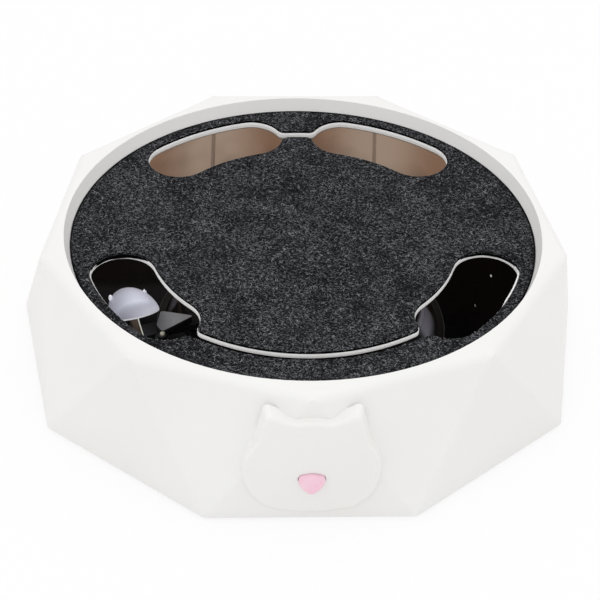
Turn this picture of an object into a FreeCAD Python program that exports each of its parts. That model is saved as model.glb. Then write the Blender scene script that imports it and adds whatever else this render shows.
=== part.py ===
import FreeCAD, Part
import math
import os
import Sketcher

# A cat toy: a nine-cornered faceted casing with a felt-covered plate in its mouth.
# A geared motor under a low drum drives an arm that carries a small mouse round below
# four windows. Millimetres, +Z up, floor at z = 0. The rotor's axis is the line that
# every piece is built round, and axis_shift then moves it so that the whole toy stands
# centred on the origin. Front is -Y.

Vector = FreeCAD.Vector
doc = FreeCAD.newDocument("cat_toy")

# Driving dimensions, in millimetres, degrees and counts
dimensions = {
    "casing_corners": 9,
    "foot_rise": 1.5,
    "casing_height": 66.1,
    "casing_wall": 2.5,
    "facet_round": 5.0,
    "casing_splay": 14.4,
    "rim_width": 11.9,
    "mouth_flare": 2.4,
    "plate_margin": 6.7,
    "sleeve_wall": 2.4,
    "ledge_width": 4.2,
    "ledge_thickness": 2.4,
    "rib_thickness": 1.2,
    "rib_depth": 1.8,
    "rib_margin": 5.0,
    "web_thickness": 1.6,
    "boss_radius": 4.0,
    "boss_inset": 13.0,
    "boss_height": 20.0,
    "screw_radius": 1.3,
    "screw_length": 11.0,
    "screw_head_radius": 3.0,
    "screw_head_height": 1.4,
    "felt_drop": 6.3,
    "felt_thickness": 1.2,
    "felt_inset": 0.3,
    "plate_thickness": 2.2,
    "plate_clearance": 0.3,
    "window_offset": 4.1,
    "window_half_width": 15.6,
    "front_window_start": 46.0,
    "front_window_end": 72.0,
    "back_window_start": 138.0,
    "back_window_end": 165.0,
    "slot_width": 5.0,
    "slot_blend": 4.0,
    "emblem_proud": 1.1,
    "emblem_lean": 2.0,
    "emblem_half_width": 31.0,
    "emblem_chin_height": 3.4,
    "emblem_jaw_half_width": 19.6,
    "emblem_jaw_height": 6.5,
    "emblem_cheek_height": 27.0,
    "emblem_pinch_half_width": 25.0,
    "emblem_pinch_height": 43.5,
    "emblem_ear_half_gap": 20.6,
    "emblem_ear_height": 60.0,
    "emblem_brow_half_width": 9.5,
    "emblem_brow_height": 54.8,
    "emblem_brow_crown": 0.8,
    "emblem_corner_round": 3.0,
    "emblem_bevel": 1.0,
    "emblem_edge_round": 1.6,
    "nose_width": 12.0,
    "nose_rise": 11.2,
    "nose_centre_height": 21.3,
    "nose_round": 2.3,
    "nose_crown": 0.7,
    "nose_bulge": 0.7,
    "nose_proud": 1.2,
    "nose_gap": 0.3,
    "nose_flange_radius": 8.2,
    "nose_flange_thickness": 1.2,
    "nose_stem_radius": 1.6,
    "button_travel": 1.5,
    "stem_length": 5.0,
    "stem_grip": 2.0,
    "switch_width": 8.4,
    "switch_depth": 6.0,
    "switch_board_width": 21.0,
    "switch_board_height": 17.0,
    "board_thickness": 1.6,
    "board_gap": 0.15,
    "rail_width": 2.4,
    "rail_grip": 1.0,
    "base_lift": 1.5,
    "base_thickness": 3.0,
    "base_gap": 0.4,
    "base_corner_round": 12.0,
    "foot_radius": 9.0,
    "foot_taper": 1.0,
    "foot_inset": 26.0,
    "drum_foot_radius": 69.0,
    "drum_taper": 7.0,
    "drum_flange_width": 3.5,
    "drum_flange_thickness": 1.5,
    "drum_height": 17.0,
    "drum_wall": 2.0,
    "drum_shoulder": 3.5,
    "drum_boss_radius": 3.5,
    "drum_boss_inset": 6.0,
    "gear_module": 0.8,
    "pressure_angle": 25.0,
    "pinion_teeth": 8,
    "wheel_teeth": 26,
    "output_teeth": 28,
    "tooth_share": 0.43,
    "tooth_addendum": 0.8,
    "tooth_dedendum": 1.15,
    "gear_width": 2.5,
    "gear_floor_gap": 2.2,
    "gear_level_gap": 0.7,
    "axle_pin_radius": 1.0,
    "pin_boss_wall": 1.6,
    "pin_sleeve_wall": 1.0,
    "bearing_depth": 1.0,
    "running_gap": 0.05,
    "fit_gap": 0.05,
    "end_gap": 0.3,
    "gear_b_direction": 160.0,
    "gear_a_direction": 75.0,
    "motor_direction": 20.0,
    "motor_radius": 9.0,
    "motor_nose_radius": 2.4,
    "motor_nose_rise": 0.8,
    "motor_cup_wall": 1.5,
    "motor_cup_height": 1.8,
    "motor_shaft_radius": 0.8,
    "motor_shaft_depth": 8.0,
    "shaft_radius": 3.0,
    "bush_wall": 1.5,
    "bush_flange": 1.5,
    "bush_collar": 0.4,
    "hub_radius": 11.0,
    "hub_top_radius": 8.0,
    "hub_height": 4.0,
    "hub_screw_radius": 1.1,
    "hub_screw_depth": 6.0,
    "hub_screw_head_radius": 4.2,
    "hub_screw_head_height": 1.8,
    "arm_direction": 200.8,
    "arm_floor": 1.0,
    "arm_width": 9.0,
    "arm_thickness": 3.0,
    "arm_ring_radius": 12.0,
    "arm_overhang": 4.1,
    "guard_length": 23.2,
    "guard_end_inset": 1.3,
    "guard_front_inset": 3.6,
    "guard_front_spread": 11.5,
    "guard_back_inset": 10.8,
    "guard_back_spread": 9.0,
    "guard_thickness": 3.0,
    "guard_round": 1.5,
    "guard_screw_inset": 5.5,
    "guard_screw_offset": 7.6,
    "guard_screw_head_radius": 1.8,
    "guard_ear_radius": 3.4,
    "roller_radius": 8.0,
    "roller_core_radius": 5.4,
    "roller_width": 6.0,
    "roller_clearance": 3.5,
    "roller_floor_gap": 0.3,
    "roller_side_gap": 0.8,
    "roller_crown": 0.8,
    "roller_pin_radius": 1.2,
    "cheek_thickness": 2.0,
    "cheek_width": 8.0,
    "mouse_offset": 5.1,
    "mouse_rim_height": 38.0,
    "mouse_half_width": 12.1,
    "mouse_nose_length": 19.2,
    "mouse_tail_length": 3.3,
    "mouse_rise": 8.5,
    "mouse_wall": 1.2,
    "mouse_tip_turn": 84.0,
    "mouse_ear_ahead": 9.5,
    "mouse_ear_spread": 8.7,
    "mouse_ear_radius": 1.6,
    "mouse_ear_thickness": 1.1,
    "mouse_ear_lift": 4.2,
    "post_inset": 0.8,
    "post_foot_width": 8.0,
    "post_head_width": 5.0,
    "post_depth": 3.6,
    "post_lean": 2.6,
    "post_head_shift": 1.8,
    "post_head_height": 42.0,
    "socket_wall": 0.6,
    "cell_radius": 7.2,
    "cell_length": 50.5,
    "cell_nub_radius": 2.7,
    "cell_nub_length": 1.4,
    "cell_gap": 0.3,
    "cell_floor_gap": 0.2,
    "first_cell_back": 20.0,
    "contact_thickness": 0.6,
    "contact_width": 8.0,
    "well_wall": 1.5,
    "well_wall_height": 6.0,
    "door_ledge": 1.5,
    "door_thickness": 2.0,
    "door_gap": 0.3,
    "door_tab_radius": 3.8,
    "door_tab_ahead": 3.5,
    "door_boss_radius": 2.6,
    "door_boss_height": 5.0,
    "circuit_length": 30.0,
    "circuit_width": 24.0,
    "circuit_lift": 3.0,
    "circuit_left": 20.0,
    "circuit_front": -2.0,
    "circuit_post_radius": 2.2,
    "circuit_post_spread": 22.0,
    "chip_length": 10.0,
    "chip_width": 6.0,
    "chip_rise": 1.6,
    "capacitor_radius": 2.5,
    "capacitor_rise": 7.0,
}
cell_count = 3
foot_count = 4
drum_screw_count = 3
shoulder_steps = 3
shell_steps = 4
shell_sides = 20


# A size: a number together with the sheet formula that it comes from
class Size:
    def __init__(self, value, formula):
        self.value = float(value)
        self.formula = formula

    def __add__(self, other):
        other = as_size(other)
        return Size(self.value + other.value, "(%s + %s)" % (self.formula, other.formula))

    def __sub__(self, other):
        other = as_size(other)
        return Size(self.value - other.value, "(%s - %s)" % (self.formula, other.formula))

    def __mul__(self, other):
        other = as_size(other)
        return Size(self.value * other.value, "%s * %s" % (self.formula, other.formula))

    def __truediv__(self, other):
        other = as_size(other)
        return Size(self.value / other.value, "%s / %s" % (self.formula, other.formula))

    def __neg__(self):
        return Size(-self.value, "(0 - %s)" % self.formula)

    def __radd__(self, other):
        return as_size(other) + self

    def __rsub__(self, other):
        return as_size(other) - self

    def __rmul__(self, other):
        return as_size(other) * self


def as_size(number):
    if isinstance(number, Size):
        return number
    return Size(number, "(%s)" % repr(float(number)))


# Cosine and sine of an angle in degrees, kept as formulas
def cosine(angle):
    angle = as_size(angle)
    return Size(math.cos(math.radians(angle.value)), "cos(%s)" % angle.formula)


def sine(angle):
    angle = as_size(angle)
    return Size(math.sin(math.radians(angle.value)), "sin(%s)" % angle.formula)


class Sizes:
    pass


# The spreadsheet that holds every driving dimension, one alias a row
sheet = doc.addObject("Spreadsheet::Sheet", "dims")
dim = Sizes()
for row, (alias, number) in enumerate(dimensions.items(), start=1):
    sheet.set("A%d" % row, alias)
    sheet.set("B%d" % row, str(number))
    sheet.setAlias("B%d" % row, alias)
    setattr(dim, alias, Size(number, "dims.%s" % alias))
doc.recompute()

# Heights and places worked out from the driving dimensions
corners = int(dimensions["casing_corners"])
corner_step = 360.0 / corners
casing_low = dim.foot_rise
casing_top = dim.foot_rise + dim.casing_height
half_step = as_size(180.0) / dim.casing_corners
drum_top_radius = dim.drum_foot_radius - dim.drum_taper
drum_flange_radius = dim.drum_foot_radius + dim.drum_flange_width
inner_cheek = drum_flange_radius + dim.roller_clearance
roller_start = inner_cheek + dim.cheek_thickness + dim.roller_side_gap
roller_ring = roller_start + dim.roller_width / 2
mouse_ring = roller_ring + dim.mouse_offset
window_radius = mouse_ring + dim.window_offset
seat_radius = window_radius + dim.window_half_width + dim.plate_margin
mouth_radius = seat_radius + dim.mouth_flare
top_radius = mouth_radius + dim.rim_width
bottom_radius = top_radius + dim.casing_splay
facet_low_reach = bottom_radius * cosine(half_step)
facet_lean = (facet_low_reach - top_radius) / dim.casing_height
emblem_reach = facet_low_reach + dim.emblem_proud
front_reach = emblem_reach - dim.nose_centre_height * sine(dim.emblem_lean) + dim.nose_proud
axis_shift = (front_reach - bottom_radius) / 2
felt_top = casing_top - dim.felt_drop
plate_top = felt_top - dim.felt_thickness
plate_low = plate_top - dim.plate_thickness
base_low = dim.foot_rise + dim.base_lift
base_top = base_low + dim.base_thickness
drum_top = base_top + dim.drum_height
drum_ceiling = drum_top - dim.drum_wall
arm_low = drum_top + dim.arm_floor
arm_top = arm_low + dim.arm_thickness
guard_top = arm_top + dim.guard_thickness
nose_height = dim.foot_rise + dim.nose_centre_height
output_low = base_top + dim.gear_floor_gap
gear_b_wheel_low = output_low + dim.gear_width + dim.gear_level_gap
gear_a_wheel_low = gear_b_wheel_low + dim.gear_width + dim.gear_level_gap
gear_top = gear_a_wheel_low + dim.gear_width
roller_height = base_top + dim.roller_floor_gap + dim.roller_radius
wall_through = dim.casing_wall * (1 + facet_lean * facet_lean / 2)
flange_top = nose_height + dim.nose_flange_radius
wall_behind_nose = facet_low_reach - facet_lean * (flange_top - casing_low) - wall_through
button_back = -wall_behind_nose + dim.nose_gap
stem_end = button_back + dim.nose_flange_thickness + dim.stem_length
switch_front = stem_end - dim.stem_grip
board_front = switch_front + dim.switch_depth
parts = {}


# Bind a property of an object to a size from the sheet
def bind(obj, name, size):
    obj.setExpression(name, as_size(size).formula)


# Place an object by sizes; turn is about +Z, in degrees
def place(obj, x=0, y=0, z=0, turn=0.0, axis=Vector(0, 0, 1)):
    obj.Placement = FreeCAD.Placement(Vector(0, 0, 0), FreeCAD.Rotation(axis, turn))
    bind(obj, "Placement.Base.x", x)
    bind(obj, "Placement.Base.y", y)
    bind(obj, "Placement.Base.z", z)


def cylinder(name, radius, low, height, x=0, y=0):
    obj = doc.addObject("Part::Cylinder", name)
    bind(obj, "Radius", radius)
    bind(obj, "Height", height)
    place(obj, x, y, low)
    return obj


# A cylinder that lies along +X from x, or along +Y from y
def lying_cylinder(name, radius, length, x, y, z, along_y=False):
    obj = doc.addObject("Part::Cylinder", name)
    bind(obj, "Radius", radius)
    bind(obj, "Height", length)
    if along_y:
        place(obj, x, y, z, -90.0, Vector(1, 0, 0))
    else:
        place(obj, x, y, z, 90.0, Vector(0, 1, 0))
    return obj


def cone(name, low_radius, top_radius, low, height, x=0, y=0):
    obj = doc.addObject("Part::Cone", name)
    bind(obj, "Radius1", low_radius)
    bind(obj, "Radius2", top_radius)
    bind(obj, "Height", height)
    place(obj, x, y, low)
    return obj


# A box from its lowest corner
def box(name, x, y, z, length, width, height):
    obj = doc.addObject("Part::Box", name)
    bind(obj, "Length", length)
    bind(obj, "Width", width)
    bind(obj, "Height", height)
    place(obj, x, y, z)
    return obj


def fuse(name, pieces):
    obj = doc.addObject("Part::MultiFuse", name)
    obj.Shapes = pieces
    obj.Refine = True
    return obj


def common(name, pieces):
    obj = doc.addObject("Part::MultiCommon", name)
    obj.Shapes = pieces
    return obj


def cut(name, base, tool):
    obj = doc.addObject("Part::Cut", name)
    obj.Base = base
    obj.Tool = tool
    obj.Refine = True
    return obj


# A shape that only Part's own functions make, kept as a plain feature
def feature(name, shape):
    obj = doc.addObject("Part::Feature", name)
    obj.Shape = shape
    return obj


# Several separate solids that are one sub-part
def group(name, pieces):
    obj = doc.addObject("Part::Compound", name)
    obj.Links = pieces
    return obj


# Record a finished sub-part: its label is its file's name, and its placement puts it
# round the rotor's axis, turned by the arm's direction where it rides on the arm
def sub_part(label, obj, turn=0.0):
    obj.Label = label
    place(obj, 0, axis_shift, 0, turn)
    parts[label] = obj
    return obj


# A body with a closed outline of (radius, height) points turned about the Z axis
def revolved_body(name, outline):
    body = doc.addObject("PartDesign::Body", name)
    sketch = body.newObject("Sketcher::SketchObject", name + "_profile")
    planes = [f for f in body.Origin.OriginFeatures if f.Role == "XZ_Plane"]
    sketch.AttachmentSupport = [(planes[0], "")]
    sketch.MapMode = "FlatFace"
    count = len(outline)
    points = [Vector(as_size(r).value, as_size(z).value, 0) for r, z in outline]
    for i in range(count):
        sketch.addGeometry(Part.LineSegment(points[i], points[(i + 1) % count]), False)
    for i in range(count):
        sketch.addConstraint(Sketcher.Constraint("Coincident", i, 2, (i + 1) % count, 1))
    for i, (r, z) in enumerate(outline):
        if as_size(r).value == 0:
            sketch.addConstraint(Sketcher.Constraint("PointOnObject", i, 1, -2))
        else:
            place_at = sketch.addConstraint(Sketcher.Constraint("DistanceX", -1, 1, i, 1, points[i].x))
            sketch.setExpression("Constraints[%d]" % place_at, as_size(r).formula)
        height_at = sketch.addConstraint(Sketcher.Constraint("DistanceY", -1, 1, i, 1, points[i].y))
        sketch.setExpression("Constraints[%d]" % height_at, as_size(z).formula)
    turned = body.newObject("PartDesign::Revolution", name + "_turned")
    turned.Profile = sketch
    turned.ReferenceAxis = (sketch, ["V_Axis"])
    turned.Angle = 360.0
    body.Tip = turned
    doc.recompute()
    return body


# Point at a radius and an angle measured from the front, seen from above
def polar(radius, angle, z=0.0):
    turn = math.radians(angle)
    return Vector(radius * math.sin(turn), -radius * math.cos(turn), z)


# Flat nine-sided ring, its first corner at an angle from the front
def ring(name, radius, height, first):
    obj = doc.addObject("Part::RegularPolygon", name)
    bind(obj, "Polygon", dim.casing_corners)
    bind(obj, "Circumradius", radius)
    place(obj, 0, 0, height, first - 90.0)
    return obj


def loft(name, sections):
    obj = doc.addObject("Part::Loft", name)
    obj.Sections = sections
    obj.Solid = True
    obj.Ruled = True
    return obj


# Nine upright and nine hanging triangles, made as the solid that two nine-sided
# pyramids share; inset moves every face inward
def faceted(name, inset, low, top):
    flat_low = bottom_radius * cosine(half_step)
    flat_top = top_radius * cosine(half_step)
    slope = (top_radius - flat_low) / dim.casing_height
    hanging_slope = (flat_top - bottom_radius) / dim.casing_height
    solids = []
    for kind, reach, lean, first in (
        ("upright", flat_low, slope, corner_step / 2),
        ("hanging", bottom_radius, hanging_slope, 0.0),
    ):
        rings = []
        for end, height in (("low", low), ("top", top)):
            flat = reach + lean * (height - casing_low) - inset
            rings.append(ring("%s_%s_%s" % (name, kind, end), flat / cosine(half_step), height, first))
        solids.append(loft("%s_%s" % (name, kind), rings))
    return common(name, solids)


# Annular window with round ends, between two angles from the front
def annular_window(radius, half_width, start, end, low, height):
    inner, outer = radius - half_width, radius + half_width
    middle = (start + end) / 2
    past = math.degrees(half_width / radius)
    edges = [
        Part.Arc(polar(outer, start, low), polar(outer, middle, low), polar(outer, end, low)),
        Part.Arc(polar(outer, end, low), end_cap(radius, half_width, end, low, 1), polar(inner, end, low)),
        Part.Arc(polar(inner, end, low), polar(inner, middle, low), polar(inner, start, low)),
        Part.Arc(polar(inner, start, low), end_cap(radius, half_width, start, low, -1), polar(outer, start, low)),
    ]
    wire = Part.Wire([edge.toShape() for edge in edges])
    return Part.Face(wire).extrude(Vector(0, 0, height))


# Far point of a window's round end, in the direction of travel
def end_cap(radius, half_width, angle, z, side):
    turn = math.radians(angle)
    ahead = Vector(math.cos(turn), math.sin(turn), 0) * (side * half_width)
    return polar(radius, angle, z) + ahead


# Arc-shaped slot with square ends, between two angles from the front
def arc_slot(radius, width, start, end, low, height):
    inner, outer = radius - width / 2, radius + width / 2
    middle = (start + end) / 2
    edges = [
        Part.Arc(polar(outer, start, low), polar(outer, middle, low), polar(outer, end, low)).toShape(),
        Part.makeLine(polar(outer, end, low), polar(inner, end, low)),
        Part.Arc(polar(inner, end, low), polar(inner, middle, low), polar(inner, start, low)).toShape(),
        Part.makeLine(polar(inner, start, low), polar(outer, start, low)),
    ]
    return Part.Face(Part.Wire(edges)).extrude(Vector(0, 0, height))


# The four windows and the two slots that join them in pairs, as one cutter
def window_cutter(low, height, grow=0.0):
    radius = window_radius.value
    half_width = dim.window_half_width.value + grow
    front = (dim.front_window_start.value, dim.front_window_end.value)
    back = (dim.back_window_start.value, dim.back_window_end.value)
    width = dim.slot_width.value + 2 * grow
    windows = []
    for start, end in (front, back, (-front[1], -front[0]), (-back[1], -back[0])):
        windows.append(annular_window(radius, half_width, start, end, low, height))
    slots = [
        arc_slot(radius, width, -front[0], front[0], low, height),
        arc_slot(radius, width, back[1], 360.0 - back[1], low, height),
    ]
    cutter = slots[0].fuse(windows + slots[1:]).removeSplitter()
    joints = []
    for edge in cutter.Edges:
        ends = [v.Point for v in edge.Vertexes]
        upright = len(ends) == 2 and (ends[1] - ends[0]).cross(Vector(0, 0, 1)).Length < 0.001
        from_axis = math.hypot(ends[0].x, ends[0].y)
        on_slot_wall = abs(abs(from_axis - radius) - width / 2) < 0.01
        if upright and on_slot_wall:
            joints.append(edge)
    return cutter.makeFillet(dim.slot_blend.value, joints)


# Arc that rounds off a corner, starting and ending at a reach from it
def corner_arc(before, corner, after, reach):
    back = (before - corner).normalize()
    ahead = (after - corner).normalize()
    half_angle = back.getAngle(ahead) / 2
    start = corner + back * reach
    end = corner + ahead * reach
    middle = corner + ((start + end) / 2 - corner) / (1 + math.sin(half_angle))
    return start, Part.Arc(start, middle, end).toShape(), end


# Cat-head outline across the front, grown outward all round, as a closed wire at a depth
def emblem_wire(y, grow):
    def spot(x, height):
        return Vector(x, y, casing_low.value + height)

    cheek = spot(dim.emblem_half_width.value + grow, dim.emblem_cheek_height.value)
    jaw = spot(dim.emblem_jaw_half_width.value + grow / 2, dim.emblem_jaw_height.value - grow)
    pinch = spot(dim.emblem_pinch_half_width.value + grow, dim.emblem_pinch_height.value)
    ear_tip = spot(dim.emblem_ear_half_gap.value + grow, dim.emblem_ear_height.value + grow * 2)
    brow = spot(dim.emblem_brow_half_width.value, dim.emblem_brow_height.value + grow)
    crown = spot(0, dim.emblem_brow_height.value + dim.emblem_brow_crown.value + grow)
    chin = spot(0, dim.emblem_chin_height.value - grow)
    reach = dim.emblem_corner_round.value
    across, down = cheek.x - jaw.x, cheek.z - jaw.z
    jaw_round = (across ** 2 + down ** 2) / (2 * across)
    half_turn = math.atan2(down, jaw_round - across) / 2
    jaw_middle = Vector(cheek.x - jaw_round * (1 - math.cos(half_turn)), y, cheek.z - jaw_round * math.sin(half_turn))
    bulge = Vector((cheek.x * 5 + pinch.x) / 6, y, (cheek.z + pinch.z) / 2)
    brow_start, brow_arc, brow_end = corner_arc(Vector(0, y, brow.z), brow, ear_tip, reach)
    ear_start, ear_arc, ear_end = corner_arc(brow, ear_tip, pinch, reach)
    pinch_start, pinch_arc, pinch_end = corner_arc(ear_tip, pinch, bulge, reach)
    right = [
        brow_arc,
        Part.makeLine(brow_end, ear_start),
        ear_arc,
        Part.makeLine(ear_end, pinch_start),
        pinch_arc,
        Part.Arc(pinch_end, bulge, cheek).toShape(),
        Part.Arc(cheek, jaw_middle, jaw).toShape(),
    ]
    left = [edge.mirror(Vector(0, 0, 0), Vector(1, 0, 0)) for edge in right]
    top = Part.Arc(Vector(-brow_start.x, y, brow_start.z), crown, brow_start).toShape()
    low = Part.Arc(jaw, chin, Vector(-jaw.x, y, jaw.z)).toShape()
    return Part.Wire(Part.__sortEdges__([top] + right + [low] + left))


# Cat head that stands out of the front facet: its edge is rounded in steps and its face
# leans back
def emblem_solid(back_y):
    front_y = -emblem_reach.value
    edge_round = dim.emblem_edge_round.value
    wires = []
    for i in range(shell_steps):
        turn = math.radians(90.0 * i / (shell_steps - 1))
        depth = edge_round * (1 - math.sin(turn))
        wires.append(emblem_wire(front_y + depth, -edge_round * (1 - math.cos(turn))))
    sections = [emblem_wire(back_y, dim.emblem_bevel.value)] + wires
    solid = Part.makeLoft(sections, True, True)
    solid.rotate(Vector(0, front_y, casing_low.value), Vector(-1, 0, 0), dim.emblem_lean.value)
    return solid


# Rounded triangle of the nose button, wide at the top, as a solid between two depths
def nose_solid(front_y, back_y, grow):
    width = dim.nose_width.value + 2 * grow
    rise = dim.nose_rise.value + 2 * grow
    radius = dim.nose_round.value + grow
    top = nose_height.value + rise / 2
    low = nose_height.value - rise / 2
    shoulder = Vector(width / 2 - radius, front_y, top - radius - dim.nose_crown.value)
    tip = Vector(0, front_y, low + radius)
    lean = math.atan2(shoulder.z - tip.z, shoulder.x)
    out = Vector(math.sin(lean), 0, -math.cos(lean))
    upper = shoulder + Vector(0, 0, radius)
    side_start = shoulder + out * radius
    side_end = tip + out * radius
    side_middle = (side_start + side_end) / 2 + out * dim.nose_bulge.value
    round_middle = shoulder + (out + Vector(0, 0, 1)).normalize() * radius

    def other(point):
        return Vector(-point.x, point.y, point.z)

    outline = [
        Part.Arc(other(upper), Vector(0, front_y, top), upper).toShape(),
        Part.Arc(upper, round_middle, side_start).toShape(),
        Part.Arc(side_start, side_middle, side_end).toShape(),
        Part.Arc(side_end, Vector(0, front_y, low), other(side_end)).toShape(),
        Part.Arc(other(side_end), other(side_middle), other(side_start)).toShape(),
        Part.Arc(other(side_start), other(round_middle), other(upper)).toShape(),
    ]
    return Part.Face(Part.Wire(outline)).extrude(Vector(0, back_y - front_y, 0))


# Toothed disc with involute flanks. phase is the angle of one tooth's middle
def toothed_disc(teeth, low, height, phase):
    module = dim.gear_module.value
    pitch = module * teeth / 2
    base = pitch * math.cos(math.radians(dim.pressure_angle.value))
    tip = pitch + module * dim.tooth_addendum.value
    root = pitch - module * dim.tooth_dedendum.value
    half_tooth = math.pi / teeth * dim.tooth_share.value

    def roll(radius):
        return math.sqrt(max((radius / base) ** 2 - 1.0, 0.0))

    def flank(radius):
        angle = roll(radius)
        return angle - math.atan(angle)

    at_pitch = flank(pitch)
    start = max(base, root)
    radii = [start, pitch, tip]
    points = []
    for i in range(teeth):
        middle = phase + 2 * math.pi * i / teeth
        rising = [(r, middle - half_tooth - at_pitch + flank(r)) for r in radii]
        falling = [(r, middle + half_tooth + at_pitch - flank(r)) for r in reversed(radii)]
        foot = [(root, rising[0][1])] if root < base else []
        heel = [(root, falling[-1][1])] if root < base else []
        for r, a in foot + rising + falling + heel:
            points.append(Vector(r * math.cos(a), r * math.sin(a), low))
    return Part.Face(Part.makePolygon(points + [points[0]])).extrude(Vector(0, 0, height))


# Tooth phase of a gear that is in mesh with its neighbour, both seen from above
def meshing_phase(teeth, centre, other_teeth, other_centre, other_phase):
    line = math.atan2(other_centre.y - centre.y, other_centre.x - centre.x)
    share = ((line + math.pi - other_phase) * other_teeth / (2 * math.pi)) % 1.0
    return line + (share + 0.5) * 2 * math.pi / teeth


def direction(angle, length):
    turn = math.radians(angle)
    return Vector(length * math.cos(turn), length * math.sin(turn), 0)


# Outer casing: faceted shell, round mouth with a seat for the plate, ribs, screw bosses,
# the cat-head boss on the front facet and rails that hold the switch board
void_top = casing_top - dim.casing_wall
facets = faceted("casing_facets", as_size(0), casing_low, casing_top)
doc.recompute()
shell = doc.addObject("Part::Fillet", "casing_outside")
shell.Base = facets
slanted = []
for index, edge in enumerate(facets.Shape.Edges, start=1):
    rise = abs(edge.Vertexes[0].Z - edge.Vertexes[-1].Z)
    if rise > dim.facet_round.value or edge.Vertexes[0].Z > void_top.value:
        slanted.append((index, dim.facet_round.value, dim.facet_round.value))
shell.Edges = slanted
hollow = faceted("casing_hollow", dim.casing_wall, casing_low - dim.casing_wall, void_top)
fit_space = faceted("casing_fit_space", dim.casing_wall / 2, casing_low, void_top)
emblem_back = -wall_behind_nose + dim.casing_wall / 2
emblem = feature("emblem_boss", emblem_solid(emblem_back.value))
outside = fuse("casing_with_emblem", [shell, emblem])
skin = cut("casing_skin", outside, hollow)
sleeve_low = plate_low - dim.ledge_thickness
sleeve_radius = seat_radius + dim.sleeve_wall
sleeve = cylinder("mouth_sleeve", sleeve_radius, sleeve_low, casing_top - sleeve_low)
fittings = [sleeve]


# Upright web that runs outward from a radius, in a direction measured from the front
def web(name, radius, angle, low, length, height, thickness):
    obj = box(name, 0, 0, low, length, thickness, height)
    turn = FreeCAD.Rotation(Vector(0, 0, 1), angle - 90.0)
    obj.Placement = FreeCAD.Placement(Vector(0, 0, 0), turn)
    side = thickness / 2
    bind(obj, "Placement.Base.x", radius * sine(angle) - side * cosine(angle))
    bind(obj, "Placement.Base.y", -(radius * cosine(angle)) - side * sine(angle))
    bind(obj, "Placement.Base.z", low)
    return obj


rib_low = base_top + dim.rib_margin
rib_rise = void_top - rib_low
webs = [web("rib_web_%d" % i, seat_radius, corner_step * i, rib_low, bottom_radius - seat_radius, rib_rise,
            dim.rib_thickness) for i in range(1, corners)]
rib_core = faceted("rib_core", dim.casing_wall + dim.rib_depth, casing_low - dim.casing_wall, casing_top)
fittings.append(cut("corner_ribs", fuse("rib_webs", webs), rib_core))
boss_ring = bottom_radius - dim.boss_inset
boss_spots = []
for i in range(0, corners, 2):
    angle = half_step * (2 * i + 1)
    boss_spots.append((boss_ring * sine(angle), -(boss_ring * cosine(angle))))
for i, (x, y) in enumerate(boss_spots):
    fittings.append(cylinder("boss_%d" % i, dim.boss_radius, base_top, dim.boss_height, x, y))
    fittings.append(web("boss_web_%d" % i, boss_ring, corner_step * (2 * i + 0.5), base_top, dim.boss_inset,
                        dim.boss_height, dim.web_thickness))
rail_start = -(wall_behind_nose + dim.casing_wall)
rail_end = board_front + dim.board_thickness + dim.rail_grip
rail_low = nose_height - dim.switch_board_height / 2
for name, side in (("left_rail", -1), ("right_rail", 1)):
    inner = dim.switch_board_width / 2 - dim.rail_grip
    x = inner if side > 0 else -inner - dim.rail_width
    fittings.append(box(name, x, rail_start, rail_low, dim.rail_width, rail_end - rail_start,
                        dim.switch_board_height))
inside_parts = common("casing_inside", [fit_space, fuse("casing_fittings", fittings)])
casing_cutters = [
    cylinder("sleeve_bore", seat_radius, plate_low, dim.casing_height),
    cylinder("ledge_bore", seat_radius - dim.ledge_width, sleeve_low - dim.casing_height, dim.casing_height * 2),
    cone("mouth_flare", seat_radius, mouth_radius, felt_top, dim.felt_drop),
    feature("nose_hole", nose_solid(-emblem_reach.value - dim.casing_wall.value, button_back.value,
                                    dim.nose_gap.value)),
    box("board_slot", -dim.switch_board_width / 2, board_front, rail_low, dim.switch_board_width,
        dim.board_thickness, dim.switch_board_height),
]
for i, (x, y) in enumerate(boss_spots):
    casing_cutters.append(cylinder("boss_hole_%d" % i, dim.screw_radius + dim.fit_gap, base_low,
                                   dim.screw_length + dim.end_gap, x, y))
sub_part("outer_casing", cut("outer_casing", fuse("casing_full", [skin, inside_parts]),
                             fuse("casing_cuts", casing_cutters)))

# Base tray: rounded nine-sided floor with the battery opening, bearing bosses, screw holes
cell_pitch = dim.cell_radius * 2 + dim.cell_gap
cell_y = [-(dim.first_cell_back + cell_pitch * i) for i in range(cell_count)]
well_front = cell_y[-1] - dim.cell_radius - dim.cell_gap
well_back = cell_y[0] + dim.cell_radius + dim.cell_gap
well_length = well_back - well_front
well_half = dim.cell_length / 2 + dim.contact_thickness + dim.cell_gap
base_reach = facet_low_reach - facet_lean * (base_top - casing_low) - wall_through - dim.base_gap
floor_disc = doc.addObject("Part::Prism", "floor_disc")
bind(floor_disc, "Polygon", dim.casing_corners)
bind(floor_disc, "Circumradius", base_reach / cosine(half_step))
bind(floor_disc, "Height", dim.base_thickness)
place(floor_disc, 0, 0, base_low, corner_step / 2 - 90.0)
doc.recompute()
floor = doc.addObject("Part::Fillet", "floor_plate")
floor.Base = floor_disc
floor.Edges = [(index, dim.base_corner_round.value, dim.base_corner_round.value)
               for index, edge in enumerate(floor_disc.Shape.Edges, start=1)
               if abs(edge.Vertexes[0].Z - edge.Vertexes[-1].Z) > dim.base_thickness.value / 2]

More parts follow.
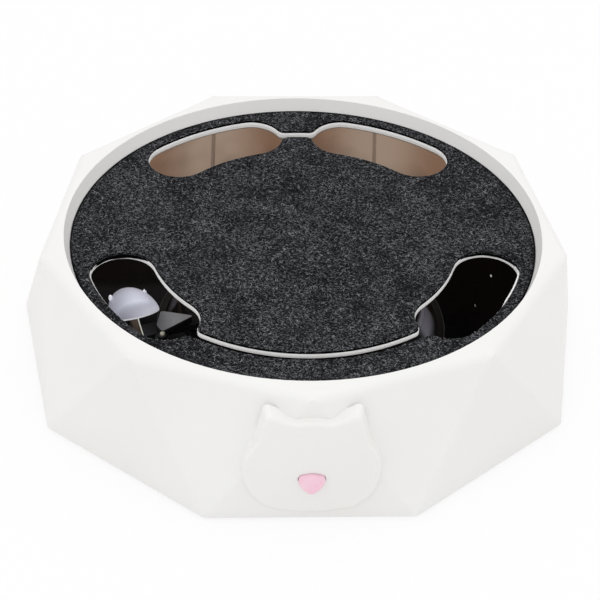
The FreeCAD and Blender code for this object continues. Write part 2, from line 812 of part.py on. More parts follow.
gear_b_at = direction(dim.gear_b_direction.value,
                      dim.gear_module.value * (dim.pinion_teeth.value + dim.output_teeth.value) / 2)
wheel_distance = dim.gear_module.value * (dim.pinion_teeth.value + dim.wheel_teeth.value) / 2
gear_a_at = gear_b_at + direction(dim.gear_a_direction.value, wheel_distance)
motor_at = gear_a_at + direction(dim.motor_direction.value, wheel_distance)
motor_top = gear_a_wheel_low - dim.gear_level_gap / 2
shaft_hole_radius = dim.shaft_radius + dim.running_gap
pin_hole_radius = dim.axle_pin_radius + dim.fit_gap
pins = (("gear_b", gear_b_at, output_low, gear_b_wheel_low + dim.gear_width),
        ("gear_a", gear_a_at, gear_b_wheel_low, gear_top))
door_screw_y = well_front - dim.door_tab_ahead
circuit_x = dim.circuit_left + dim.circuit_length / 2
circuit_y = dim.circuit_front + dim.circuit_width / 2
circuit_spots = [circuit_x - dim.circuit_post_spread / 2, circuit_x + dim.circuit_post_spread / 2]
base_pieces = [
    floor,
    cylinder("shaft_boss", shaft_hole_radius + dim.bush_wall, base_top, dim.gear_floor_gap - dim.end_gap),
    cylinder("motor_cup", dim.motor_radius + dim.fit_gap + dim.motor_cup_wall, base_top, dim.motor_cup_height,
             motor_at.x, motor_at.y),
    box("well_left", -well_half - dim.well_wall, well_front, base_top, dim.well_wall, well_length,
        dim.well_wall_height),
    box("well_right", well_half, well_front, base_top, dim.well_wall, well_length, dim.well_wall_height),
    box("well_front", -dim.cell_length / 4, well_front - dim.well_wall, base_top, dim.cell_length / 2,
        dim.well_wall, dim.well_wall_height / 2),
    cylinder("door_boss", dim.door_boss_radius, base_top, dim.door_boss_height, 0, door_screw_y),
]
for name, at, low, top in pins:
    base_pieces.append(cylinder(name + "_boss", dim.axle_pin_radius + dim.pin_boss_wall, base_top,
                                low - base_top - dim.end_gap, at.x, at.y))
for i, x in enumerate(circuit_spots):
    base_pieces.append(cylinder("circuit_post_%d" % i, dim.circuit_post_radius, base_top, dim.circuit_lift,
                                x, circuit_y))
drum_screw_turns = [90.0 + 360.0 / drum_screw_count * i for i in range(drum_screw_count)]
drum_boss_ring = drum_top_radius - dim.drum_boss_inset
drum_spots = [(drum_boss_ring * cosine(turn), drum_boss_ring * sine(turn)) for turn in drum_screw_turns]
panel_half = well_half - dim.door_ledge
panel_length = well_length - dim.door_ledge * 2
base_cutters = [
    box("well_opening", -panel_half, well_front + dim.door_ledge, base_low, panel_half * 2, panel_length,
        dim.base_thickness),
    box("door_recess", -well_half, well_front, base_low, well_half * 2, well_length, dim.door_thickness),
    cylinder("door_tab_recess", dim.door_tab_radius + dim.door_gap, base_low, dim.door_thickness, 0, door_screw_y),
    box("door_neck_recess", -dim.door_tab_radius - dim.door_gap, door_screw_y, base_low,
        (dim.door_tab_radius + dim.door_gap) * 2, dim.door_tab_ahead, dim.door_thickness),
    cylinder("door_screw_hole", dim.screw_radius + dim.fit_gap, base_low,
             dim.base_thickness + dim.door_boss_height, 0, door_screw_y),
    cylinder("shaft_hole", shaft_hole_radius, base_top - dim.bearing_depth, dim.gear_floor_gap + dim.bearing_depth),
    cylinder("motor_seat", dim.motor_radius + dim.fit_gap, base_top, dim.motor_cup_height, motor_at.x, motor_at.y),
]
for name, at, low, top in pins:
    base_cutters.append(cylinder(name + "_pin_hole", pin_hole_radius, base_top - dim.bearing_depth,
                                 dim.drum_height, at.x, at.y))
for i, (x, y) in enumerate(boss_spots + drum_spots):
    base_cutters.append(cylinder("base_hole_%d" % i, dim.screw_radius + dim.fit_gap, base_low, dim.base_thickness,
                                 x, y))
sub_part("base_tray", cut("base_tray", fuse("base_full", base_pieces), fuse("base_cuts", base_cutters)))

# Rubber feet under the tray, one for each quarter
foot_ring = bottom_radius - dim.foot_inset
feet = []
for i in range(foot_count):
    turn = 45.0 + 360.0 / foot_count * i
    x = foot_ring * cosine(turn)
    y = foot_ring * sine(turn)
    feet.append(cone("foot_%d" % i, dim.foot_radius - dim.foot_taper, dim.foot_radius, 0, base_low, x, y))
sub_part("rubber_feet", group("rubber_feet", feet))


# Self-tapping screw driven upward: a pan head under the face, and a shank
def upward_screw(name, face, length, x, y):
    return fuse(name, [
        cylinder(name + "_head", dim.screw_head_radius, face - dim.screw_head_height, dim.screw_head_height, x, y),
        cylinder(name + "_shank", dim.screw_radius, face, length, x, y),
    ])


sub_part("casing_screws", group("casing_screws", [
    upward_screw("casing_screw_%d" % i, base_low, dim.screw_length, x, y)
    for i, (x, y) in enumerate(boss_spots)]))
sub_part("drum_screws", group("drum_screws", [
    upward_screw("drum_screw_%d" % i, base_low, dim.screw_length, x, y)
    for i, (x, y) in enumerate(drum_spots)]))

# Pad plate with its four windows, seated on the casing's ledge, and the felt on it
plate_radius = seat_radius - dim.plate_clearance
plate_disc = cylinder("plate_disc", plate_radius, plate_low, dim.plate_thickness)
plate_windows = feature("plate_windows", window_cutter(plate_low.value - 1, dim.plate_thickness.value + 2))
sub_part("pad_plate", cut("pad_plate", plate_disc, plate_windows))
felt_disc = cylinder("felt_disc", plate_radius, plate_top, dim.felt_thickness)
felt_windows = feature("felt_windows", window_cutter(plate_top.value - 1, dim.felt_thickness.value + 2,
                                                     dim.felt_inset.value))
sub_part("felt_pad", cut("felt_pad", felt_disc, felt_windows))

# Drum cover over the gears: flange, tapered wall with a soft shoulder, bush hole, bosses
bush_radius = dim.shaft_radius + dim.running_gap + dim.bush_wall
shoulder = []
for i in range(1, shoulder_steps):
    turn = 90.0 * i / shoulder_steps
    shoulder.append((drum_top_radius - dim.drum_shoulder * (1 - cosine(turn)),
                     drum_top - dim.drum_shoulder * (1 - sine(turn))))
drum = revolved_body("drum_shell", [
    (drum_flange_radius, base_top),
    (drum_flange_radius, base_top + dim.drum_flange_thickness),
    (dim.drum_foot_radius, base_top + dim.drum_flange_thickness),
    (drum_top_radius, drum_top - dim.drum_shoulder),
] + shoulder + [
    (drum_top_radius - dim.drum_shoulder, drum_top),
    (bush_radius, drum_top),
    (bush_radius, drum_ceiling),
    (drum_top_radius - dim.drum_wall, drum_ceiling),
    (dim.drum_foot_radius - dim.drum_wall, base_top),
])
drum_pieces = [drum]
drum_cutters = []
for i, (x, y) in enumerate(drum_spots):
    drum_pieces.append(cylinder("drum_boss_%d" % i, dim.drum_boss_radius, base_top,
                                drum_ceiling - base_top + dim.drum_wall / 2, x, y))
    drum_cutters.append(cylinder("drum_pilot_%d" % i, dim.screw_radius + dim.fit_gap, base_top, dim.screw_length,
                                 x, y))
for name, at, low, top in pins:
    sleeve_bottom = top + dim.end_gap
    drum_pieces.append(cylinder(name + "_sleeve", pin_hole_radius + dim.pin_sleeve_wall, sleeve_bottom,
                                drum_ceiling - sleeve_bottom + dim.drum_wall / 2, at.x, at.y))
    drum_cutters.append(cylinder(name + "_sleeve_bore", pin_hole_radius, sleeve_bottom,
                                 drum_ceiling - sleeve_bottom, at.x, at.y))
sub_part("drum_cover", cut("drum_cover", fuse("drum_full", drum_pieces), fuse("drum_cuts", drum_cutters)))

# Bush that the output shaft turns in, held in the drum's top
bush_low = drum_ceiling - dim.bush_flange
sub_part("shaft_bush", cut("shaft_bush", fuse("bush_full", [
    cylinder("bush_barrel", bush_radius - dim.fit_gap, bush_low, drum_top - bush_low + dim.bush_collar),
    cylinder("bush_flange", bush_radius + dim.bush_flange, bush_low, dim.bush_flange),
]), cylinder("bush_bore", shaft_hole_radius, bush_low, dim.drum_height)))

# Motor and its pinion; the gear train to the output shaft
can_top = motor_top - dim.motor_nose_rise
sub_part("motor_can", cut("motor_can", fuse("motor_full", [
    cylinder("motor_barrel", dim.motor_radius, base_top, can_top - base_top, motor_at.x, motor_at.y),
    cylinder("motor_nose", dim.motor_nose_radius, base_top, motor_top - base_top, motor_at.x, motor_at.y),
]), cylinder("motor_bore", dim.motor_shaft_radius + dim.running_gap, motor_top - dim.motor_shaft_depth + dim.end_gap,
             dim.motor_shaft_depth, motor_at.x, motor_at.y)))
output_phase = 0.0
pinion_teeth = dim.pinion_teeth.value
wheel_teeth = dim.wheel_teeth.value
gear_b_phase = meshing_phase(pinion_teeth, gear_b_at, dim.output_teeth.value, Vector(), output_phase)
gear_a_phase = meshing_phase(pinion_teeth, gear_a_at, wheel_teeth, gear_b_at, gear_b_phase)
motor_phase = meshing_phase(pinion_teeth, motor_at, wheel_teeth, gear_a_at, gear_a_phase)
level = dim.gear_width.value + dim.gear_level_gap.value


def compound_gear(name, at, pinion_low, phase):
    pinion = toothed_disc(int(pinion_teeth), pinion_low.value, level, phase)
    wheel = toothed_disc(int(wheel_teeth), pinion_low.value + level, dim.gear_width.value, phase)
    whole = pinion.fuse(wheel).removeSplitter()
    whole.translate(at)
    bore = cylinder(name + "_bore", dim.axle_pin_radius + dim.running_gap, pinion_low, dim.drum_height, at.x, at.y)
    return cut(name, feature(name + "_teeth", whole), bore)


sub_part("gear_b", compound_gear("gear_b", gear_b_at, output_low, gear_b_phase))
sub_part("gear_a", compound_gear("gear_a", gear_a_at, gear_b_wheel_low, gear_a_phase))
output_disc = toothed_disc(int(dim.output_teeth.value), output_low.value, dim.gear_width.value, output_phase)
sub_part("output_gear", cut("output_gear", fuse("output_full", [
    feature("output_teeth", output_disc),
    cylinder("output_collar", dim.shaft_radius + dim.bush_wall, output_low, dim.gear_width + dim.gear_level_gap / 2),
]), cylinder("output_bore", dim.shaft_radius + dim.fit_gap, output_low, dim.drum_height)))
pinion_low = gear_a_wheel_low
pinion_shape = toothed_disc(int(pinion_teeth), pinion_low.value, level, motor_phase)
pinion_shape.translate(motor_at)
sub_part("motor_pinion", cut("motor_pinion", feature("pinion_teeth", pinion_shape),
                             cylinder("pinion_bore", dim.motor_shaft_radius + dim.fit_gap, pinion_low,
                                      dim.drum_height, motor_at.x, motor_at.y)))
motor_shaft_low = motor_top - dim.motor_shaft_depth + dim.end_gap * 2
sub_part("motor_shaft", group("motor_shaft", [
    cylinder("motor_shaft_rod", dim.motor_shaft_radius, motor_shaft_low,
             gear_top + dim.gear_level_gap - motor_shaft_low, motor_at.x, motor_at.y)]))
sub_part("axle_pins", group("axle_pins", [
    cylinder(name + "_axle_pin", dim.axle_pin_radius, base_top - dim.bearing_depth,
             drum_ceiling - base_top + dim.bearing_depth, at.x, at.y)
    for name, at, low, top in pins]))

# Output shaft, hub and hub screw
shaft_low = base_top - dim.bearing_depth + dim.end_gap
shaft_top = arm_top + dim.hub_height
sub_part("output_shaft", cut("output_shaft",
                             cylinder("shaft_rod", dim.shaft_radius, shaft_low, shaft_top - shaft_low),
                             cylinder("shaft_thread", dim.hub_screw_radius + dim.fit_gap,
                                      shaft_top - dim.hub_screw_depth, dim.hub_screw_depth)))
sub_part("rotor_hub", cut("rotor_hub",
                          cone("hub_cone", dim.hub_radius, dim.hub_top_radius, arm_top, dim.hub_height),
                          cylinder("hub_bore", dim.shaft_radius + dim.fit_gap, arm_top, dim.hub_height)))
sub_part("hub_screw", fuse("hub_screw", [
    cylinder("hub_screw_head", dim.hub_screw_head_radius, shaft_top, dim.hub_screw_head_height),
    cylinder("hub_screw_shank", dim.hub_screw_radius, shaft_top - dim.hub_screw_depth + dim.end_gap,
             dim.hub_screw_depth),
]))

# Rotor arm: ring on the shaft, bar, end pad and the two cheeks that hold the roller's pin.
# Arm pieces are built along +X and turned to the arm's direction
half_arm = dim.arm_width / 2
arm_reach = mouse_ring + dim.arm_overhang
outer_cheek = roller_start + dim.roller_width + dim.roller_side_gap
guard_screw_ring = roller_ring - dim.guard_screw_inset
half_cheek = dim.cheek_width / 2
cheek_pieces = []
for name, start in (("inner_cheek", inner_cheek), ("outer_cheek", outer_cheek)):
    cheek_pieces.append(box(name, start, -half_cheek, roller_height, dim.cheek_thickness, dim.cheek_width,
                            arm_low - roller_height + dim.arm_thickness / 2))
    cheek_pieces.append(lying_cylinder(name + "_end", half_cheek, dim.cheek_thickness, start, 0, roller_height))
arm_full = fuse("arm_full", [
    cylinder("arm_ring", dim.arm_ring_radius, arm_low, dim.arm_thickness),
    box("arm_bar", 0, -half_arm, arm_low, arm_reach - half_arm, dim.arm_width, dim.arm_thickness),
    cylinder("arm_end", half_arm, arm_low, dim.arm_thickness, arm_reach - half_arm, 0),
    cylinder("arm_ear", dim.guard_ear_radius, arm_low, dim.arm_thickness, guard_screw_ring,
             dim.guard_screw_offset),
] + cheek_pieces)
pin_start = inner_cheek - dim.cheek_thickness / 2
pin_length = outer_cheek + dim.cheek_thickness * 1.5 - pin_start
arm_cutters = [
    cylinder("arm_bore", dim.shaft_radius + dim.fit_gap, arm_low, dim.arm_thickness),
    cylinder("arm_screw_hole", dim.hub_screw_radius + dim.fit_gap, arm_low, dim.arm_thickness,
             guard_screw_ring, dim.guard_screw_offset),
    lying_cylinder("arm_pin_hole", dim.roller_pin_radius + dim.fit_gap, pin_length, pin_start, 0, roller_height),
]
arm_turn = dim.arm_direction.value
sub_part("rotor_arm", cut("rotor_arm", arm_full, fuse("arm_cuts", arm_cutters)), arm_turn)
sub_part("roller_axle", group("roller_axle", [
    lying_cylinder("roller_pin", dim.roller_pin_radius, pin_length, pin_start, 0, roller_height)]), arm_turn)


# A body with a closed outline of (x, y) points drawn at a height and padded upward
def padded_body(name, outline, low, height):
    body = doc.addObject("PartDesign::Body", name)
    sketch = body.newObject("Sketcher::SketchObject", name + "_outline")
    planes = [f for f in body.Origin.OriginFeatures if f.Role == "XY_Plane"]
    sketch.AttachmentSupport = [(planes[0], "")]
    sketch.MapMode = "FlatFace"
    sketch.setExpression("AttachmentOffset.Base.z", as_size(low).formula)
    count = len(outline)
    points = [Vector(as_size(x).value, as_size(y).value, 0) for x, y in outline]
    for i in range(count):
        sketch.addGeometry(Part.LineSegment(points[i], points[(i + 1) % count]), False)
    for i in range(count):
        sketch.addConstraint(Sketcher.Constraint("Coincident", i, 2, (i + 1) % count, 1))
    for i, (x, y) in enumerate(outline):
        for kind, size, number in (("DistanceX", x, points[i].x), ("DistanceY", y, points[i].y)):
            spot = sketch.addConstraint(Sketcher.Constraint(kind, -1, 1, i, 1, number))
            sketch.setExpression("Constraints[%d]" % spot, as_size(size).formula)
    pad = body.newObject("PartDesign::Pad", name + "_pad")
    pad.Profile = sketch
    bind(pad, "Length", height)
    body.Tip = pad
    doc.recompute()
    return body


# Round the upright edges of a padded body
def round_upright(body, name, radius):
    edges = ["Edge%d" % index for index, edge in enumerate(body.Shape.Edges, start=1)
             if abs(edge.Vertexes[0].Z - edge.Vertexes[-1].Z) > 0.1]
    sharp = body.Tip
    soft = body.newObject("PartDesign::Fillet", name)
    soft.Base = (sharp, edges)
    bind(soft, "Radius", radius)
    body.Tip = soft
    doc.recompute()


# Roller guard: fan-shaped plate on the arm, its point towards the hub, and its screw
guard = padded_body("guard_fan", [
    (roller_ring - dim.guard_length, 0),
    (roller_ring - dim.guard_back_inset, -dim.guard_back_spread),
    (roller_ring - dim.guard_end_inset, -half_arm),
    (roller_ring - dim.guard_end_inset, half_arm),
    (roller_ring - dim.guard_front_inset, dim.guard_front_spread),
], arm_top, dim.guard_thickness)
round_upright(guard, "guard_corner_round", dim.guard_round)
guard_hole = cylinder("guard_hole", dim.hub_screw_radius + dim.fit_gap, arm_top, dim.guard_thickness,
                      guard_screw_ring, dim.guard_screw_offset)
sub_part("roller_guard", cut("roller_guard", guard, guard_hole), arm_turn)
guard_screw_length = dim.guard_thickness + dim.arm_thickness
sub_part("guard_screw", fuse("guard_screw", [
    cylinder("guard_screw_head", dim.guard_screw_head_radius, guard_top, dim.screw_head_height / 2,
             guard_screw_ring, dim.guard_screw_offset),
    cylinder("guard_screw_shank", dim.hub_screw_radius, guard_top - guard_screw_length,
             guard_screw_length + dim.screw_head_height / 4, guard_screw_ring, dim.guard_screw_offset),
]), arm_turn)

# Roller: core that turns on the pin, and a crowned tyre round it
core_bore = dim.roller_pin_radius + dim.running_gap
hub_start = roller_start - dim.roller_side_gap / 2
sub_part("roller_core", cut("roller_core", fuse("roller_core_full", [
    lying_cylinder("roller_rim", dim.roller_core_radius, dim.roller_width, roller_start, 0, roller_height),
    lying_cylinder("roller_hub", dim.roller_pin_radius * 2, dim.roller_width + dim.roller_side_gap, hub_start, 0,
                   roller_height),
]), lying_cylinder("roller_bore", core_bore, dim.roller_width + dim.roller_side_gap, hub_start, 0,
                   roller_height)), arm_turn)
tread_start = roller_start + dim.roller_crown
tread_end = roller_start + dim.roller_width - dim.roller_crown
tyre_cones = []
for name, start, first_radius, last_radius in (
    ("tyre_inner_crown", roller_start, dim.roller_radius - dim.roller_crown, dim.roller_radius),
    ("tyre_outer_crown", tread_end, dim.roller_radius, dim.roller_radius - dim.roller_crown),
):
    crown = cone(name, first_radius, last_radius, 0, dim.roller_crown)
    place(crown, start, 0, roller_height, 90.0, Vector(0, 1, 0))
    tyre_cones.append(crown)
tread = lying_cylinder("tyre_tread", dim.roller_radius, tread_end - tread_start, tread_start, 0, roller_height)
sub_part("roller_tyre", cut("roller_tyre", fuse("tyre_full", [tread] + tyre_cones),
                            lying_cylinder("tyre_bore", dim.roller_core_radius + dim.fit_gap, dim.roller_width,
                                           roller_start, 0, roller_height)), arm_turn)


# Post that carries the mouse: it stands on the arm's end and leans outward
def slab_section(name, ring_radius, shift, height, width):
    obj = doc.addObject("Part::Plane", name)
    bind(obj, "Length", dim.post_depth)
    bind(obj, "Width", width)
    place(obj, ring_radius - dim.post_depth / 2, -width / 2 - shift, height)
    return obj


post_foot_ring = mouse_ring - dim.post_inset
post_head_ring = post_foot_ring + dim.post_lean
sub_part("mouse_post", loft("mouse_post", [
    slab_section("post_foot", post_foot_ring, 0, arm_top, dim.post_foot_width),
    slab_section("post_head", post_head_ring, dim.post_head_shift, dim.post_head_height, dim.post_head_width),
]), arm_turn)


# Half-oval section of the mouse across its length, at a share of its full size
def mouse_section(y, share, shrink):
    half_width = (dim.mouse_half_width.value - shrink) * share
    rise = (dim.mouse_rise.value - shrink) * share
    middle = Vector(mouse_ring.value, y, dim.mouse_rim_height.value)
    points = []
    for i in range(shell_sides + 1):
        turn = math.pi * i / shell_sides
        points.append(middle + Vector(half_width * math.cos(turn), 0, rise * math.sin(turn)))
    return Part.makePolygon(points + [points[0]])


# Upper half of an egg as a ruled loft: long towards the nose (-Y), short and blunt behind
def half_egg(shrink):
    sections = []
    for reach, way in ((dim.mouse_tail_length.value - shrink, 1), (dim.mouse_nose_length.value - shrink, -1)):
        turns = [dim.mouse_tip_turn.value * i / shell_steps for i in range(shell_steps + 1)]
        if way > 0:
            turns = turns[:0:-1]
        for turn in turns:
            share = math.cos(math.radians(turn))
            sections.append(mouse_section(way * reach * math.sin(math.radians(turn)), share, shrink))
    return Part.makeLoft(sections, True, True)


# Mouse: thin half-egg shell with two ears and a socket for the post
mouse_outside = feature("mouse_outside", half_egg(0.0))
mouse_inside = feature("mouse_inside", half_egg(dim.mouse_wall.value))
ears = [
    lying_cylinder("mouse_ear_%s" % name, dim.mouse_ear_radius, dim.mouse_ear_thickness,
                   mouse_ring + dim.mouse_ear_spread * side, -dim.mouse_ear_ahead - dim.mouse_ear_thickness / 2,
                   dim.mouse_rim_height + dim.mouse_ear_lift, True)
    for name, side in (("inner", -1), ("outer", 1))]
mouse_skin = cut("mouse_skin", fuse("mouse_with_ears", [mouse_outside] + ears), mouse_inside)
socket_post = cylinder("socket_post", dim.post_depth / 2 + dim.socket_wall + dim.post_head_width / 4,
                       dim.post_head_height, dim.mouse_rise, post_head_ring, -dim.post_head_shift)
socket_space = feature("socket_space", half_egg(dim.mouse_wall.value / 2))
socket = common("mouse_socket", [socket_post, socket_space])
sub_part("mouse_shell", fuse("mouse_shell", [mouse_skin, socket]), arm_turn)

# Nose button: rounded triangle in the cat head, a flange behind the wall, a stem to the switch
nose_face = feature("nose_face", nose_solid(-front_reach.value, button_back.value + dim.nose_flange_thickness.value,
                                            0.0))
sub_part("nose_button", fuse("nose_button", [
    nose_face,
    lying_cylinder("nose_flange", dim.nose_flange_radius, dim.nose_flange_thickness, 0, button_back, nose_height,
                   True),
    lying_cylinder("nose_stem", dim.nose_stem_radius, dim.stem_length + dim.nose_flange_thickness, 0,
                   button_back, nose_height, True),
]))

# Push switch that the button's stem works, on a small board held in the rails
switch_half = dim.switch_width / 2
stem_room = dim.stem_grip + dim.button_travel + dim.end_gap
switch_body = cut("switch_body",
                  box("switch_block", -switch_half, switch_front, nose_height - switch_half, dim.switch_width,
                      dim.switch_depth, dim.switch_width),
                  lying_cylinder("switch_bore", dim.nose_stem_radius + dim.nose_gap, stem_room, 0, switch_front,
                                 nose_height, True))
switch_board = box("switch_board", -dim.switch_board_width / 2 + dim.board_gap, board_front,
                   rail_low, dim.switch_board_width - dim.board_gap * 2,
                   dim.board_thickness - dim.board_gap, dim.switch_board_height)
sub_part("button_switch", fuse("button_switch", [switch_body, switch_board]))

# Three cells side by side, their nubs turned about in turn, and the contact plates
cell_height = base_top + dim.cell_floor_gap + dim.cell_radius
cell_half = dim.cell_length / 2
cells = []
contacts = []
for i, y in enumerate(cell_y):
    way = 1 if i % 2 == 0 else -1
    can_start = -cell_half if way > 0 else -cell_half + dim.cell_nub_length
    nub_start = cell_half - dim.cell_nub_length * 2 if way > 0 else -cell_half
    cells.append(fuse("cell_%d" % i, [
        lying_cylinder("cell_can_%d" % i, dim.cell_radius, dim.cell_length - dim.cell_nub_length, can_start, y,
                       cell_height),
        lying_cylinder("cell_nub_%d" % i, dim.cell_nub_radius, dim.cell_nub_length * 2, nub_start, y, cell_height),
    ]))
    for side, x in (("left", -cell_half - dim.contact_thickness), ("right", cell_half)):
        contacts.append(box("contact_%s_%d" % (side, i), x, y - dim.contact_width / 2, base_top,
                            dim.contact_thickness, dim.contact_width, dim.cell_radius + dim.contact_width / 2))
sub_part("battery_cells", group("battery_cells", cells))
sub_part("battery_contacts", group("battery_contacts", contacts))

# Battery door in the tray's recess, with a raised panel, a tab and the screw through it
gap = dim.door_gap
door_pieces = [
    box("door_plate", -well_half + gap, well_front + gap, base_low, (well_half - gap) * 2, well_length - gap * 2,
        dim.door_thickness - dim.board_gap),
    box("door_panel", -panel_half + gap, well_front + dim.door_ledge + gap, base_low, (panel_half - gap) * 2,
        panel_length - gap * 2, dim.base_thickness),
    cylinder("door_tab", dim.door_tab_radius, base_low, dim.door_thickness - dim.board_gap, 0, door_screw_y),
    box("door_neck", -dim.door_tab_radius, door_screw_y, base_low, dim.door_tab_radius * 2,
        dim.door_tab_ahead + dim.door_ledge, dim.door_thickness - dim.board_gap),
]
sub_part("battery_door", cut("battery_door", fuse("door_full", door_pieces),
                             cylinder("door_hole", dim.screw_radius + dim.fit_gap, base_low, dim.base_thickness,
                                      0, door_screw_y)))
sub_part("battery_door_screw", upward_screw("battery_door_screw", base_low, dim.base_thickness +
                                            dim.door_boss_height - dim.end_gap, 0, door_screw_y))

# Circuit board on its posts, with one chip and one capacitor
circuit_low = base_top + dim.circuit_lift
circuit_face = circuit_low + dim.board_thickness
sub_part("circuit_board", fuse("circuit_board", [
    box("circuit_plate", dim.circuit_left, dim.circuit_front, circuit_low, dim.circuit_length,
        dim.circuit_width, dim.board_thickness),
    box("circuit_chip", circuit_x - dim.chip_length / 2, circuit_y - dim.chip_width / 2, circuit_face,
        dim.chip_length, dim.chip_width, dim.chip_rise),
    cylinder("circuit_capacitor", dim.capacitor_radius, circuit_face, dim.capacitor_rise,
             circuit_x + dim.chip_length, circuit_y + dim.chip_width),
]))

# Rebuild everything, look for failures, then write one file for each sub-part
doc.recompute()
for obj in doc.Objects:
    failed = [state for state in obj.State if state in ("Invalid", "Error")]
    if failed:
        raise RuntimeError("%s did not build: %s" % (obj.Name, failed))
for label, obj in parts.items():
    if obj.Shape.isNull() or not obj.Shape.isValid() or not obj.Shape.Solids:
        raise RuntimeError("%s has no valid solid" % label)
os.makedirs("parts", exist_ok=True)
for label, obj in parts.items():
    obj.Shape.exportStep("parts/%s.step" % label)
    print("%-20s %3d solids %12.1f mm3" % (label, len(obj.Shape.Solids), obj.Shape.Volume))
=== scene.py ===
import bpy
import bmesh
import math
import random
from mathutils import Matrix, Vector


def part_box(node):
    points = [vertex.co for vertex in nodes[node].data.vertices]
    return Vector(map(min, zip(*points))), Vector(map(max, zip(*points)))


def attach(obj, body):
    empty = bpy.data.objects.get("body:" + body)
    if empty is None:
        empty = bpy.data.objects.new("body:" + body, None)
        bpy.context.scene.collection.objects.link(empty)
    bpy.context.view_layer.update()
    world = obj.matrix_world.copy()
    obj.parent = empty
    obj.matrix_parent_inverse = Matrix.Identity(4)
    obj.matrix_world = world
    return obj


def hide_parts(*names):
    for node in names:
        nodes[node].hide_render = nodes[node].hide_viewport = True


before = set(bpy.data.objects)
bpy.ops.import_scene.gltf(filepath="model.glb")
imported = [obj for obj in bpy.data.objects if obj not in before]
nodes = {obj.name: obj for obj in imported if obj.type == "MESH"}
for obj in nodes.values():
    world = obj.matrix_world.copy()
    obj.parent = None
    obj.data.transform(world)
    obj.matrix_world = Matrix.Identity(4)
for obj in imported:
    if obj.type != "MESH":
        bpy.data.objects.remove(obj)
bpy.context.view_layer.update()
axisY = -0.0035035  # the toy's upright axis stands a little towards the front
print("stage: frame loaded,", len(nodes), "nodes")


# Shader helpers
class Field:  # a shader value; sums and products on it add nodes
    def __init__(self, graph, socket):
        self.graph = graph
        self.socket = socket

    def combine(self, operation, first, second):
        kinds = [item.socket.type for item in (first, second) if isinstance(item, Field)]
        kind = "ShaderNodeVectorMath" if "VECTOR" in kinds else "ShaderNodeMath"
        return self.graph.node(kind, {"operation": operation}, {0: first, 1: second})

    def __add__(self, other):
        return self.combine("ADD", self, other)

    def __radd__(self, other):
        return self.combine("ADD", other, self)

    def __sub__(self, other):
        return self.combine("SUBTRACT", self, other)

    def __rsub__(self, other):
        return self.combine("SUBTRACT", other, self)

    def __mul__(self, other):
        return self.combine("MULTIPLY", self, other)

    def __rmul__(self, other):
        return self.combine("MULTIPLY", other, self)

    def step(self, low, high, start=0.0, end=1.0):  # smooth step from low to high
        settings = {"interpolation_type": "SMOOTHSTEP"}
        return self.graph.node("ShaderNodeMapRange", settings, {0: self, 1: low, 2: high, 3: start, 4: end})

    def between(self, start, full, fade, end):  # rises from start to full and falls from fade to end
        return self.step(start, full) * self.step(end, fade)

    def size(self):  # a number without its sign
        return self.graph.node("ShaderNodeMath", {"operation": "ABSOLUTE"}, {0: self})

    def length(self):  # of a vector
        return self.graph.node("ShaderNodeVectorMath", {"operation": "LENGTH"}, {0: self}, 1)

    def part(self, index):  # one axis of a vector
        return self.graph.node("ShaderNodeSeparateXYZ", {}, {0: self}, index)


class Graph:  # a node tree
    def __init__(self, tree):
        self.tree = tree

    def feed(self, socket, value):
        if isinstance(value, Field):
            self.tree.links.new(value.socket, socket)
        elif socket.type == "RGBA":
            socket.default_value = (*value, 1.0)
        else:
            socket.default_value = value

    def node(self, kind, settings, inputs, output=0):
        made = self.tree.nodes.new(kind)
        for key, value in settings.items():
            setattr(made, key, value)
        for key, value in inputs.items():
            self.feed(made.inputs[key], value)
        return Field(self, made.outputs[output])


class Surface(Graph):  # one procedural material
    def __init__(self, name):
        self.material = bpy.data.materials.new(name)
        self.material.use_nodes = True
        super().__init__(self.material.node_tree)
        self.shader = self.tree.nodes["Principled BSDF"]
        self.place = self.node("ShaderNodeTexCoord", {}, {}, "Object")

    def set(self, **inputs):  # the shader's own sockets, with _ for a blank
        for key, value in inputs.items():
            self.feed(self.shader.inputs[key.replace("_", " ")], value)

    def axes(self):  # place across, along and up, as numbers
        return [self.place.part(index) for index in range(3)]

    def facing(self):
        return self.node("ShaderNodeTexCoord", {}, {}, "Normal")

    def reach(self):  # distance from the toy's upright axis
        return ((self.place - Vector((0, axisY, 0))) * Vector((1, 1, 0))).length()

    def noise(self, scale, detail=3.0, roughness=0.55, place=None, distortion=0.0):
        inputs = {"Vector": place or self.place, "Scale": scale, "Detail": detail, "Roughness": roughness,
                  "Distortion": distortion}
        return self.node("ShaderNodeTexNoise", {}, inputs)

    def stretched(self, turn, along):  # coordinates drawn out along a turned axis, for fibres
        inputs = {"Vector": self.place, "Rotation": (0.0, 0.0, turn), "Scale": (1.0, along, 1.0)}
        return self.node("ShaderNodeMapping", {"vector_type": "TEXTURE"}, inputs)

    def blend(self, mask, first, second):  # colour from first to second by a mask
        return self.node("ShaderNodeMix", {"data_type": "RGBA"}, {0: mask, 6: first, 7: second}, 2)

    def mottled(self, first, second, scale, low, high, detail=3.0, roughness=0.55):  # two colours
        return self.blend(self.noise(scale, detail, roughness).step(low, high), first, second)

    def glow(self, mask, colour):  # light of a colour where the mask is
        self.set(Emission_Color=self.blend(mask, (0.0, 0.0, 0.0), colour), Emission_Strength=1.0)

    def rough(self, scale, low, high, start=0.2, end=0.8):  # roughness that wanders from low to high
        self.set(Roughness=self.noise(scale).step(start, end, low, high))

    def bump(self, height, strength, depth):
        inputs = {"Strength": strength, "Distance": depth, "Height": height}
        self.set(Normal=self.node("ShaderNodeBump", {}, inputs))

    def finish(self, rough, scale, strength, depth=0.0002, detail=2.0):  # uneven roughness and fine bumps
        self.rough(*rough)
        self.bump(self.noise(scale, detail), strength, depth)


def dress(surface, *names):  # give CAD nodes a material
    for name in names:
        target = nodes[name]
        target.data.materials.clear()
        target.data.materials.append(surface.material)


